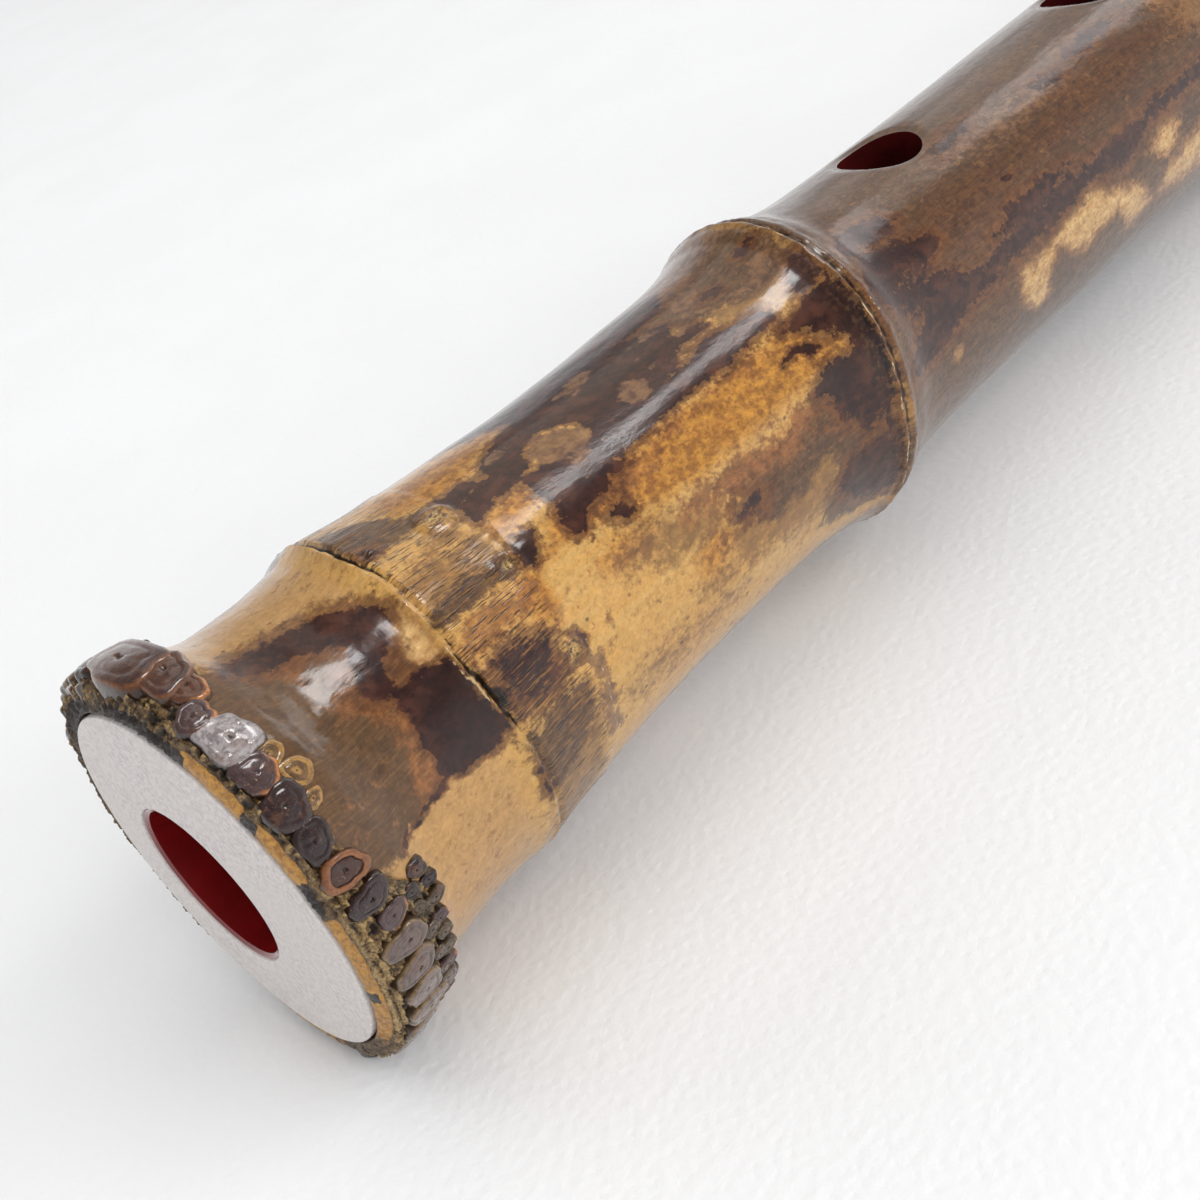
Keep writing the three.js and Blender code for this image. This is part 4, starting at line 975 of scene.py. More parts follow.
def rattan_material():
    p = Paint("rattan").set(Coat_Weight=0.45, Coat_Roughness=0.15, IOR=1.5)
    n = p.noise(1.2, 5, 0.6, (4.0, 0.5, 0.5), 4)
    patch = p.noise(0.25, 3, 0.5, (1, 1, 1), 6)
    c = p.mix(p.range(n, 0.35, 0.7), rgb(62, 36, 22), rgb(34, 20, 15))
    c = p.mix(p.range(patch, 0.45, 0.7, 0.0, 0.5), c, rgb(92, 56, 32))
    p.link(c, p.bsdf.inputs["Base Color"])
    p.link(p.range(n, 0.3, 0.7, 0.32, 0.5), p.bsdf.inputs["Roughness"])
    p.bump([(p.noise(1.0, 3, 0.6, (6.0, 0.6, 0.6), 14), 0.5)], 0.0001)
    return p.mat


def ring_material():
    p = Paint("ring_metal").set(Metallic=1.0)
    n = p.noise(1.0, 4, 0.6, (7.0, 0.5, 0.5), 4)
    t = p.noise(0.5, 3, 0.5, (1, 1, 1), 6)
    p.link(p.mix(p.range(t, 0.35, 0.7), rgb(226, 222, 214), rgb(196, 190, 178)), p.bsdf.inputs["Base Color"])
    p.link(p.range(n, 0.3, 0.7, 0.20, 0.34), p.bsdf.inputs["Roughness"])
    p.bump([(n, 0.06)], 0.0001)
    return p.mat


def horn_material():
    p = Paint("horn").set(Coat_Weight=0.5, Coat_Roughness=0.06, IOR=1.54)
    n = p.noise(0.5, 5, 0.6, (1, 3, 1), 4)
    p.link(p.mix(p.range(n, 0.4, 0.75), rgb(24, 22, 21), rgb(58, 50, 44)), p.bsdf.inputs["Base Color"])
    p.link(p.range(n, 0.3, 0.7, 0.16, 0.26), p.bsdf.inputs["Roughness"])
    p.bump([(n, 0.06)], 0.0001)
    return p.mat


def rim_material():
    """The ground, crumbling fibre of the root end."""
    p = Paint("root_fibre").set(Coat_Weight=0.25, Coat_Roughness=0.22, IOR=1.5)
    h = p.attr("height")
    ground = p.attr("ground")
    g1 = p.noise(1.5, 6, 0.7, (1, 1, 1), 3)
    g2 = p.noise(3.6, 5, 0.7, (1, 1, 1), 13)
    c = p.mix(p.range(g1, 0.42, 0.58), rgb(104, 80, 48), rgb(56, 40, 26))
    c = p.mix(p.range(g2, 0.54, 0.66, 0.0, 0.75), c, rgb(160, 128, 76))
    # Darker where the fibre lies low: painted shade in its pits.
    c = p.mix(p.range(h, -0.22, 0.10, 0.92, 0.0), c, rgb(24, 17, 13))
    c = p.mix(p.range(p.math("MULTIPLY_ADD", p.math("SUBTRACT", g2, 0.5), 0.8, h), 0.22, 0.5, 0.0, 0.6), c, rgb(176, 146, 92))
    c = p.mix(p.math("MULTIPLY", p.attr("grey"), p.range(g1, 0.4, 0.6)), c, rgb(70, 64, 56))
    yellow = p.mix(p.range(g1, 0.38, 0.64), rgb(190, 140, 60), rgb(146, 98, 40))
    gm = p.range(p.math("MULTIPLY_ADD", p.math("SUBTRACT", g1, 0.5), 0.7, ground), 0.42, 0.56)
    c = p.mix(gm, c, yellow)
    c = p.mix(p.range(p.math("MULTIPLY_ADD", p.math("SUBTRACT", g1, 0.5), 0.8, p.attr("soot")), 0.42, 0.58), c, rgb(44, 35, 30))
    c = p.mix(p.range(p.math("MULTIPLY_ADD", p.math("SUBTRACT", g2, 0.5), 0.8, p.attr("ridge")), 0.55, 0.85, 0.0, 0.8), c, rgb(180, 152, 104))
    c = p.mix(p.range(p.math("MULTIPLY_ADD", p.math("SUBTRACT", g2, 0.5), 0.5, p.attr("skin")), 0.40, 0.62, 0.0, 0.9), c, rgb(84, 60, 42))
    p.link(c, p.bsdf.inputs["Base Color"])
    p.link(p.range(g2, 0.3, 0.7, 0.42, 0.66), p.bsdf.inputs["Roughness"])
    fibres = p.noise(1.0, 4, 0.7, (0.9, 5.0, 5.0), 23)
    p.bump([(g2, 0.7), (fibres, 0.5)], 0.00022)
    return p.mat


def stub_material():
    """A ground root stub: its colour is on its vertices, and rings run round its pith."""
    p = Paint("root_stub").set(Coat_Weight=1.0, Coat_Roughness=0.12, IOR=1.5, Specular_IOR_Level=0.2)
    n = p.noise(1.6, 5, 0.65, (1, 1, 1), 3)
    n2 = p.noise(4.5, 3, 0.6, (1, 1, 1), 9)
    s = p.attr("span")
    base = p.attr_colour("tint")
    n3 = p.noise(0.6, 4, 0.6, (1, 1, 1), 19, 0.5)
    c = p.mix(p.range(n, 0.44, 0.64, 0.0, 0.55), base, rgb(44, 30, 26))
    c = p.mix(p.range(n3, 0.52, 0.66, 0.0, 0.38), c, rgb(98, 64, 42))
    c = p.mix(p.range(n2, 0.60, 0.72, 0.0, 0.35), c, rgb(150, 122, 92))
    rings = p.math("SINE", p.math("MULTIPLY_ADD", n, 9.0, p.math("MULTIPLY", s, 26.0)))
    c = p.mix(p.range(rings, 0.55, 1.0, 0.0, 0.14), c, rgb(36, 25, 22))
    # Near-black in the pore at the middle: painted shade.
    c = p.mix(p.range(p.math("MULTIPLY_ADD", n2, 0.10, s), 0.10, 0.15, 0.85, 0.0), c, rgb(18, 12, 10))
    # Darker round the foot, where the stub meets the culm: painted shade.
    c = p.mix(p.range(s, 0.97, 1.05, 0.0, 0.85), c, rgb(30, 21, 16))
    p.link(c, p.bsdf.inputs["Base Color"])
    p.link(p.range(n, 0.3, 0.7, 0.26, 0.44), p.bsdf.inputs["Roughness"])
    p.bump([(n, 0.45), (n2, 0.32)], 0.00018)
    return p.mat


def floor_material():
    p = Paint("floor").set(IOR=1.45)
    n = p.noise(0.02, 3, 0.5, (1, 1, 1), 3)
    p.link(p.mix(p.range(n, 0.3, 0.7), (0.800, 0.803, 0.806, 1), (0.780, 0.782, 0.784, 1)), p.bsdf.inputs["Base Color"])
    pores = p.voronoi(0.8, (1, 1, 1), "SMOOTH_F1", 3)
    skin = p.noise(1.2, 3, 0.55, (1, 1, 1), 8)
    p.bsdf.inputs["Roughness"].default_value = 0.42
    p.bump([(pores, 0.17), (skin, 0.12)], 0.00045)
    return p.mat


MATERIALS = {
    "bamboo": bamboo_material(), "red_lacquer": lacquer_material(), "end_plate": plate_material(),
    "dark_lacquered_wood": wood_material(), "rattan": rattan_material(), "ring_metal": ring_material(),
    "horn": horn_material(), "rim": rim_material(), "stub": stub_material(),
    # The tone holes' walls take a darker red than the bore: painted shade inside the holes.
    "hole_lacquer_shaded": lacquer_material("hole_lacquer_shaded", rgb(66, 15, 15), rgb(48, 11, 12)),
}


def dress(ob, body, mats, replaces=()):
    ob.data.materials.clear()
    for m in mats:
        ob.data.materials.append(MATERIALS[m])
    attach(ob, body)
    if replaces:
        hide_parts(*replaces)
    return ob


floor_mesh = bpy.data.meshes.new("floor")
F = 2.6
floor_mesh.from_pydata([(-F, -F, 0), (F, -F, 0), (F, F, 0), (-F, F, 0)], [], [(0, 1, 2, 3)])
floor = bpy.data.objects.new("floor", floor_mesh)
scene.collection.objects.link(floor)
floor_mesh.materials.append(floor_material())

# ---------------------------------------------------------------- the lower culm
AROUND = 240


def stations(*spans):
    out = []
    for a0, a1, step in spans:
        n = max(1, int(round((a1 - a0) / step)))
        out += list(a0 + (a1 - a0) * np.arange(n) / n)
    return np.array(out + [spans[-1][1]])


def ring_of(x, r, m=AROUND, shifted=False):
    a = np.linspace(0, 2 * math.pi, m, endpoint=False)
    oy, oz = bore_shift(x) if shifted else (0.0, 0.0)
    return np.stack([np.full(m, float(x)), r * np.cos(a) + oy, r * np.sin(a) + oz], -1)


def skirt(x, deg):
    """Under the root end's crumbling fibre the culm's own surface lies lower."""
    return -0.9 * (1 - smoothstep(fibre_end(deg) - 1.6, fibre_end(deg) - 0.4, x))


def fibre_end(deg):
    """How far along the flute the root end's fibre reaches."""
    return around([(0, 9.5), (40, 8.6), (66, 7.6), (80, 6.4), (92, 5.9), (112, 5.6), (130, 5.0), (165, 5.6), (172, 8.2),
                   (178, 10.4), (190, 10.6), (205, 9.6), (225, 9.4), (270, 9.8), (320, 9.2)], deg)


def lower_culm_skin():
    xs = stations((1.2, 42, 0.36), (42, 88, 0.85), (88, 98.5, 0.3), (98.5, 115.5, 0.9), (115.5, 129, 0.5), (129, 166.5, 1.5),
                  (166.5, 180, 0.6), (180, 195, 1.4), (195, 202, 0.45), (202, 214.5, 1.4), (214.5, 228, 0.6), (228, SEAT_LOW, 0.6))
    a = np.linspace(0, 2 * math.pi, AROUND, endpoint=False)
    X, A = np.meshgrid(xs, a, indexing="ij")
    deg = np.degrees(A) % 360
    extra = hole_dish(X, A, LOWER_HOLES) + skirt(X, deg)
    ease = -0.25 * (1 - smoothstep(0, 0.5, SEAT_LOW - X))
    loops = list(culm_surface(X, A, extra + ease))
    for x, r in ((SEAT_LOW, SEAT_R), (JOINT_X - 0.15, SEAT_R), (JOINT_X - 0.15, TENON_R + 0.3), (TENON_START - 0.3, TENON_R + 0.3)):
        loops.append(ring_of(x, r))
    for x in (TENON_START - 0.3, 160, 110, 60, 40, 25, 14, 6, 2.9):
        loops.append(ring_of(x, float(bore(x)) + 1.5, shifted=True))
    loops.append(ring_of(2.9, PLATE_R + 0.3))
    loops.append(ring_of(1.2, PLATE_R + 0.3))
    ob = outward(grid_mesh("lower_culm_skin", np.stack(loops)))
    cut(ob, [hole_cutter(x, r, s) for x, r, s in LOWER_HOLES])
    put_stains(ob)
    smooth(ob, 42)
    dress(ob, "lower_joint", ["bamboo", "hole_lacquer_shaded"], ["lower_culm"])
    hole_walls(ob, LOWER_HOLES, 1)
    return ob


LOWER_HOLES = [(x, r, 1) for x, r in FRONT_HOLES if x < JOINT_X]
UPPER_HOLES = [(FRONT_HOLES[3][0], FRONT_HOLES[3][1], 1), (THUMB_HOLE[0], THUMB_HOLE[1], -1)]
lower_skin = lower_culm_skin()


# ---------------------------------------------------------------- the root end's rim and stubs
def rim_profile(t, end):
    """The rim's smooth section: t from 0 at the plate's edge, over the outer edge, to 1 at its far end. Gives x and radius."""
    face = np.array([[0.50, 21.28], [0.30, 21.5], [0.34, 22.1], [0.62, 22.8], [1.05, 23.4], [1.7, 23.95]])
    n = len(face)
    ts = np.array([0, 0.03, 0.07, 0.12, 0.165, 0.22])
    x = np.interp(t, ts, face[:, 0])
    r = np.interp(t, ts, face[:, 1])
    beyond = t > ts[-1]
    xb = 1.7 + (end - 1.7) * (t - ts[-1]) / (1 - ts[-1])
    return np.where(beyond, xb, x), np.where(beyond, outer_radius(xb), r)


GROUND = [(0, 0.15), (50, 0.05), (100, 0.0), (113, 0.0), (119, 0.9), (134, 1.0), (137, 0.5), (141, 0.5), (144, 1.0), (156, 1.0),
          (160, 0.0), (166, 0.0), (170, 0.9), (205, 1.0), (214, 0.6), (235, 0.2), (270, 0.7), (300, 0.8), (330, 0.3)]
SOOT = [(0, 0.3), (60, 0.7), (84, 0.5), (96, 0.9), (117, 0.9), (120, 0.0), (136.5, 0.0), (137.5, 1.0), (141.5, 1.0), (142.5, 0.0),
        (156, 0.0), (158.5, 1.0), (165, 1.0), (168, 0.0), (192, 0.0), (194, 0.8), (197, 0.8), (199, 0.0), (215, 0.3), (250, 0.5), (300, 0.2)]


def root_rim():
    m, n = 760, 66
    a = np.linspace(0, 2 * math.pi, m, endpoint=False)
    t = np.linspace(0, 1, n)
    T, A = np.meshgrid(t, a, indexing="ij")
    deg = np.degrees(A) % 360
    end = fibre_end(deg)
    X, R = rim_profile(T, end)
    cyl = np.stack([X, R * np.cos(A), R * np.sin(A)], -1)
    ridged = 1 - 2 * np.abs(fbm(cyl * 0.75, 71, 4, 0.6))
    rough = 0.40 * ridged + 0.42 * fbm(cyl * 1.9, 75, 4, 0.65) - 0.12
    ground = around(GROUND, deg) * (1 - smoothstep(22.9, 23.7, R)) * (X < 2.2)
    smooth_here = np.clip(ground * 1.3, 0, 1)
    skin = around([(0, 0.3), (60, 0.35), (76, 0.75), (108, 0.8), (118, 0.6), (140, 0.5), (166, 0.45), (172, 0.1), (200, 0.0), (260, 0.2)], deg)
    skin = skin * smoothstep(2.4, 4.0, X)
    amp = (1 - 0.82 * smooth_here) * (1 - 0.6 * skin)
    ridge = bell(R - 23.55, 0.40) * (X < 2.4) * around([(0, 0.3), (110, 0.1), (120, 0.3), (156, 0.3), (168, 0.7), (205, 0.8), (230, 0.3)], deg)
    lift = amp * rough * 0.95 * smoothstep(0.0, 0.06, T) + 0.25 * ridge
    lift = lift - 1.25 * smoothstep(0.90, 1.0, T) + 0.10 * smoothstep(0.2, 0.4, T)
    nx = np.where(X < 1.9, -np.clip((1.9 - X) / 1.5, 0, 1) ** 0.7, 0.0)
    nr = np.sqrt(1 - nx ** 2)
    cy, cz = outer_middle(X)
    w = smoothstep(21.4, 23.4, R)
    Xd = X + nx * lift
    Rd = R + nr * lift
    top = np.stack([np.maximum(Xd, 0.04), Rd * np.cos(A) + w * cy, Rd * np.sin(A) + w * cz], -1)
    loops = list(top)
    height = list(lift + 1.25 * smoothstep(0.90, 1.0, T))
    extra = []
    e0 = end[0]
    for f, r in ((1.0, 20.0), (0.5, 20.6), (0.2, 21.32)):
        extra.append(np.stack([np.maximum(3.0, e0 * f), r * np.cos(a), r * np.sin(a)], -1))
    # the way back runs under the surface
    extra[0] = np.stack([e0 - 0.2, (outer_radius(e0) - 2.2) * np.cos(a), (outer_radius(e0) - 2.2) * np.sin(a)], -1)
    extra[1] = np.stack([np.full(m, 3.2), 21.5 * np.cos(a), 21.5 * np.sin(a)], -1)
    extra[2] = np.stack([np.full(m, 1.2), 21.32 * np.cos(a), 21.32 * np.sin(a)], -1)
    ob = outward(grid_mesh("root_rim", np.stack(loops + extra)))
    pad = np.zeros(3 * m)
    put(ob, "height", np.concatenate([np.stack(height).ravel(), pad]))
    put(ob, "ground", np.concatenate([ground.ravel(), pad]))
    soot = around(SOOT, deg) * (1 - smoothstep(22.6, 23.4, R)) * (X < 2.0)
    put(ob, "soot", np.concatenate([soot.ravel(), pad]))
    put(ob, "ridge", np.concatenate([ridge.ravel(), pad]))
    put(ob, "skin", np.concatenate([skin.ravel(), pad]))
    grey = around([(0, 0.5), (100, 0.1), (160, 0.2), (178, 0.7), (215, 0.7), (260, 0.4), (330, 0.5)], deg) * smoothstep(3, 6, X)
    put(ob, "grey", np.concatenate([grey.ravel(), pad]))
    smooth(ob, 180)
    dress(ob, "lower_joint", ["rim"])
    return ob


rim = root_rim()

# The stub at 124 degrees is tinted pale grey as a painted highlight.
TINTS = {"lump": rgb(84, 50, 34), "violet": rgb(70, 52, 52), "silver": rgb(150, 143, 142), "plum": rgb(40, 25, 25),
         "dark": rgb(34, 22, 22), "ring": rgb(58, 30, 22), "grey": rgb(92, 76, 70), "pale": rgb(112, 98, 92),
         "tan": rgb(150, 112, 62), "olive": rgb(72, 58, 40), "brown": rgb(84, 57, 38)}
# x, degrees, half length along the flute, half width round it (mm), height, tilt, kind
STUBS = [
    (4.6, 84.2, 3.1, 6.0, 1.15, -0.05, "lump"), (5.3, 106.9, 1.9, 2.0, 0.55, -0.03, "crescent"),
    (3.5, 115.4, 2.0, 1.7, 0.70, -0.10, "violet"), (4.1, 124.0, 2.5, 2.6, 0.60, -0.08, "silver"),
    (3.6, 133.9, 2.1, 1.95, 0.42, -0.06, "violet"), (3.5, 143.4, 2.3, 2.15, 0.50, -0.10, "plum"),
    (3.3, 152.4, 1.9, 1.9, 0.50, -0.05, "dark"), (3.7, 161.4, 2.3, 1.7, 0.95, -0.02, "ring"),
    (4.2, 169.6, 2.3, 1.4, 0.80, -0.04, "plum"), (5.2, 177.0, 1.8, 1.15, 0.65, 0.0, "violet"),
    (4.9, 184.4, 2.5, 1.5, 0.95, 0.0, "grey"), (4.8, 192.8, 2.5, 1.5, 0.95, -0.02, "grey"),
    (4.9, 201.0, 2.4, 1.45, 1.0, -0.02, "pale"), (4.8, 209.4, 2.4, 1.45, 1.0, -0.04, "pale"),
    (5.6, 132.0, 1.5, 1.3, 0.14, 0.0, "tan"), (6.6, 138.6, 1.5, 1.4, 0.14, 0.0, "tan"), (5.8, 145.4, 1.1, 0.9, 0.12, 0.0, "tan"),
    (9.7, 173.6, 1.2, 0.9, 0.55, 0.15, "plum"), (10.3, 178.6, 1.0, 0.7, 0.6, 0.2, "dark"),
    (10.0, 183.4, 1.2, 0.8, 0.7, 0.2, "olive"), (9.3, 188.6, 1.1, 0.75, 0.75, 0.2, "violet"),
    (9.2, 193.2, 1.1, 0.7, 0.8, 0.2, "olive"), (8.8, 198.2, 1.2, 0.8, 0.8, 0.2, "olive"), (8.3, 203.2, 1.2, 0.8, 0.8, 0.15, "violet"),
    (7.9, 208.6, 1.3, 0.9, 0.8, 0.1, "olive"), (7.9, 176.4, 1.0, 0.7, 0.45, 0.1, "dark"), (7.8, 181.2, 0.9, 0.65, 0.5, 0.15, "olive"),
    (7.9, 188.9, 1.0, 0.7, 0.6, 0.1, "olive"), (7.7, 197.2, 0.9, 0.7, 0.6, 0.1, "olive"), (7.6, 204.6, 0.9, 0.6, 0.6, 0.1, "dark"),
    (1.9, 74.0, 1.2, 1.3, 0.5, 0.1, "brown"), (2.0, 64.0, 1.3, 1.5, 0.5, 0.1, "lump"),
    (5.1, 98.4, 2.7, 3.1, 0.92, -0.04, "lump"),
]


def all_stubs():
    rng = np.random.RandomState(7)
    out = list(STUBS)
    kinds = ["grey", "violet", "plum", "dark", "lump", "ring", "pale", "brown"]
    deg = 218.0
    while deg < 432.0:
        d = deg % 360
        if abs(d - 257.2) < 4.5 or abs(d - 282.8) < 4.5:
            deg += 3.0
            continue
        wide = 1.35 + 0.5 * rng.rand()
        out.append((3.9 + 0.9 * (rng.rand() - 0.5), d, 2.1 + 0.5 * rng.rand(), wide, 0.7 + 0.3 * rng.rand(),
                    -0.05 - 0.06 * rng.rand(), kinds[rng.randint(len(kinds))]))
        deg += math.degrees((2 * wide + 0.35) / 24.2)
    deg = 212.0
    while deg < 436.0:
        d = deg % 360
        wide = 0.8 + 0.6 * rng.rand()
        out.append((8.3 + 1.2 * (rng.rand() - 0.5), d, 1.0 + 0.6 * rng.rand(), wide, 0.6 + 0.3 * rng.rand(), 0.12,
                    ["olive", "violet", "brown", "dark"][rng.randint(4)]))
        deg += math.degrees((2 * wide + 0.5 + 1.2 * rng.rand()) / 23.0)
    for d in (257.2, 282.8):
        out.append((3.6, d, 2.4, 2.3, 0.0, 0.0, "rest"))
    return out


def root_stubs():
    rng = np.random.RandomState(23)
    co, faces, tint, span = [], [], [], []
    m = 36
    rings = [(1.16, -1.5), (1.08, -0.30), (1.03, 0.55), (0.97, 0.88), (0.90, 0.985), (0.80, 1.0), (0.70, 0.985), (0.64, 0.90),
             (0.58, 0.95), (0.48, 0.975), (0.34, 0.985), (0.20, 0.97), (0.12, 0.93), (0.07, 0.72)]
    for x0, d0, lx, ly, high, tilt, kind in all_stubs():
        a0 = math.radians(d0)
        b = np.linspace(0, 2 * math.pi, m, endpoint=False)
        wob = 1 + 0.08 * np.sin(2 * b + rng.rand() * 6.3) + 0.07 * np.sin(3 * b + rng.rand() * 6.3) + 0.04 * np.sin(5 * b + rng.rand() * 6.3) + 0.025 * np.sin(8 * b + rng.rand() * 6.3)
        power = {"silver": 3.2, "lump": 3.4}.get(kind, 2.4)
        sq = (np.abs(np.cos(b)) ** power + np.abs(np.sin(b)) ** power) ** (-1 / power)
        pore = (0.25 * (rng.rand() - 0.5), 0.25 * (rng.rand() - 0.5))
        start = len(co)
        groove = {"ring": 0.12, "tan": 0.03, "lump": 0.0, "silver": 0.0}.get(kind, 0.012)
        dome = {"lump": 0.12, "silver": 0.22, "plum": 0.22, "ring": -0.10, "tan": 0.04}.get(kind, 0.10)
        for k, (s, h) in enumerate(rings):
            q = max(0.0, 1 - s)
            u = lx * s * np.cos(b) * sq * wob + lx * pore[0] * q
            v = ly * s * np.sin(b) * sq * wob + ly * pore[1] * q
            x = x0 + u
            base_r = float(outer_radius(x0))
            cy, cz = (float(c) for c in outer_middle(x0))
            if kind == "rest":
                # the two that the flute lies on are worn flat
                A = a0 + v / 24.0
                r = (24.62 - max(0.0, s - 0.97) * 6.0 - (0.25 if s < 0.1 else 0)) / np.maximum(0.2, -np.sin(A)) if s <= 1.03 else np.full(m, base_r - 1.0)
                r = np.minimum(r, 25.2)
                co.extend(np.stack([x, r * np.cos(A), r * np.sin(A)], -1))
            else:
                A = a0 + v / (base_r + 0.5)
                r = np.asarray(outer_radius(np.clip(x, 1.8, 14))) if kind in ("tan",) else np.full(m, base_r) + 0.4 * (np.asarray(outer_radius(np.clip(x, 1.8, 14))) - base_r)
                face = (high * h if h > 0 else h) + dome * max(0.0, 1 - s * s) + tilt * u * (1 if s < 1.05 else 0)
                if 0.6 < s < 0.68:
                    face = face - groove
                if s < 0.60 and kind == "ring":
                    face = face - 0.12
                face = face + (0.07 * fbm(np.stack([x * 1.1, 24 * A * 1.1, np.full(m, x0)], -1), 81, 4) if s < 1.05 else 0)
                if kind == "silver" and s < 0.95:
                    face = face + 0.14 * fbm(np.stack([x * 0.8, 24 * A * 0.8, np.full(m, 3.0)], -1), 83, 3)
                r = r + face
                co.extend(np.stack([x, r * np.cos(A) + cy, r * np.sin(A) + cz], -1))
            tone = np.array(TINTS[{"rest": "grey", "crescent": "lump"}.get(kind, kind)][:3])
            vary = 1 + 0.16 * (rng.rand() - 0.5)
            if kind == "ring" and s > 0.66:
                tone = np.array(rgb(122, 74, 40)[:3])
            if kind == "ring" and 0.60 < s <= 0.66:
                tone = np.array(rgb(34, 20, 16)[:3])
            if kind == "tan":
                tone = np.array((rgb(150, 112, 60) if s > 0.66 or s < 0.3 else rgb(104, 76, 44))[:3])
            if kind in ("grey", "pale") and s > 0.92:
                tone = np.array(rgb(122, 98, 68)[:3])
            if kind in ("crescent", "violet") and s > 0.86:
                f = np.clip((v / ly * 0.8 + u / lx * 0.8) * 1.6 - 0.2, 0, 1)[:, None]
                t_ = tone * (1 - f) + np.array(rgb(172, 108, 52)[:3]) * f
                tint.extend(np.concatenate([t_, np.ones((m, 1))], 1))
            elif kind == "lump":
                e = np.clip((v * 1.0 / ly + 1) / 2, 0, 1)[:, None]
                t_ = np.array(rgb(100, 62, 36)[:3]) * (1 - e) + np.array(rgb(58, 38, 36)[:3]) * e
                if s > 0.9:
                    t_ = t_ * 0.5 + 0.5 * np.array(rgb(140, 86, 44)[:3])
                tint.extend(np.concatenate([t_, np.ones((m, 1))], 1))
            else:
                tint.extend([list(np.clip(tone * vary, 0, 1)) + [1.0]] * m)
            span.extend([s] * m)
        n = len(rings)
        for k in range(n - 1):
            for j in range(m):
                j2 = (j + 1) % m
                faces.append((start + k * m + j, start + k * m + j2, start + (k + 1) * m + j2, start + (k + 1) * m + j))
        # close the pore and the hidden foot with fans round a middle point
        for k in (n - 1, 0):
            ringpts = np.array(co[start + k * m:start + (k + 1) * m])
            co.append(ringpts.mean(0))
            tint.append(list(tint[start + k * m]))
            span.append(0.0 if k else 1.16)
            c = len(co) - 1
            for j in range(m):
                j2 = (j + 1) % m
                if k:
                    faces.append((start + k * m + j, start + k * m + j2, c))
                else:
                    faces.append((start + j2, start + j, c))
    me = bpy.data.meshes.new("root_stubs")
    me.from_pydata([tuple(v) for v in above_floor(to_row(np.array(co)))], [], faces)
    me.update()
    ob = bpy.data.objects.new("root_stubs", me)
    scene.collection.objects.link(ob)
    fix_normals(ob)
    put(ob, "span", span)
    col = ob.data.attributes.new("tint", "FLOAT_COLOR", "POINT")
    col.data.foreach_set("color", np.asarray(tint, np.float32).ravel())
    smooth(ob, 50)
    dress(ob, "lower_joint", ["stub"])
    return ob


stubs = root_stubs()


# ---------------------------------------------------------------- turned pieces
def turned(name, profile, m, place=None):
    """A closed profile of (x, radius, kind) turned about the bore axis; kind 'bore' follows the bore's bend."""
    a = np.linspace(0, 2 * math.pi, m, endpoint=False)
    loops = []
    for row in profile:
        x, r = row[0], row[1]
        bent = len(row) > 2 and row[2] == "bore"
        rr = r if np.ndim(r) else np.full(m, float(r))
        oy, oz = bore_shift(x) if bent else (0.0, 0.0)
        loops.append(np.stack([np.full(m, float(x)), rr * np.cos(a) + oy, rr * np.sin(a) + oz], -1))
    return outward(grid_mesh(name, np.stack(loops)))


def end_plate():
    hole = lambda x: float(bore(x)) + 0.56
    prof = [(0.22, hole(0), "bore"), (0.05, hole(0) + 0.10, "bore"), (0.0, hole(0) + 0.28, "bore"),
            (0.0, 15.2), (0.0, 18.0), (0.0, PLATE_R - 0.42), (0.04, PLATE_R - 0.22), (0.14, PLATE_R - 0.07), (0.30, PLATE_R),
            (PLATE_T, PLATE_R), (PLATE_T, hole(PLATE_T), "bore")]
    ob = turned("end_plate", prof, 192)
    smooth(ob, 30)
    return dress(ob, "lower_joint", ["end_plate"], ["root_end_plate"])


end_plate()


def lower_lining():
    prof = [(0.45, float(bore(0)) + 0.10, "bore"), (0.28, float(bore(0)) + 0.28, "bore"), (0.22, float(bore(0)) + 0.5, "bore"), (2.6, float(bore(2.6)) + 0.5, "bore"), (2.9, float(bore(2.9)) + 0.5, "bore")]
    for x in (6, 10, 14, 20, 25, 32, 40, 50, 60, 80, 110, 135, 160, 185, TENON_START - 0.6):
        prof.append((x, float(bore(x)) + 1.2, "bore"))
    prof += [(TENON_START - 0.2, TENON_R - TENON_WALL - 0.3), (TENON_END - 0.3, TENON_R - TENON_WALL - 0.3), (TENON_END, TENON_R - TENON_WALL - 0.5), (TENON_END, float(bore(TENON_END)) + 0.25, "bore"), (TENON_END - 0.3, float(bore(TENON_END)), "bore")]
    for x in (262, 240, 225, 209.4, 185, 160, 135, 110, 85, 60, 50, 40, 32, 25, 20, 16, 12, 8, 5, 3, 1.5, 0.5):
        prof.append((x, float(bore(x)), "bore"))
    ob = turned("bore_lining_lower", prof, 128)
    cut(ob, [hole_cutter(x, r - 0.02, s, 64) for x, r, s in LOWER_HOLES])
    smooth(ob, 35)
    return dress(ob, "lower_joint", ["red_lacquer"], ["lower_bore_lining"])


lower_lining()


def tenon():
    r, inner = TENON_R, TENON_R - TENON_WALL
    prof = [(TENON_START, r), (240, r), (256, r), (TENON_END - 0.8, r), (TENON_END - 0.35, r - 0.12), (TENON_END - 0.08, r - 0.38), (TENON_END, r - 0.6), (TENON_END, inner), (TENON_START, inner)]
    ob = turned("tenon", prof, 128)
    cut(ob, [hole_cutter(FRONT_HOLES[2][0], FRONT_HOLES[2][1] - 0.01, 1, 64)])
    smooth(ob, 35)
    return dress(ob, "lower_joint", ["dark_lacquered_wood"], ["tenon_sleeve"])


tenon()


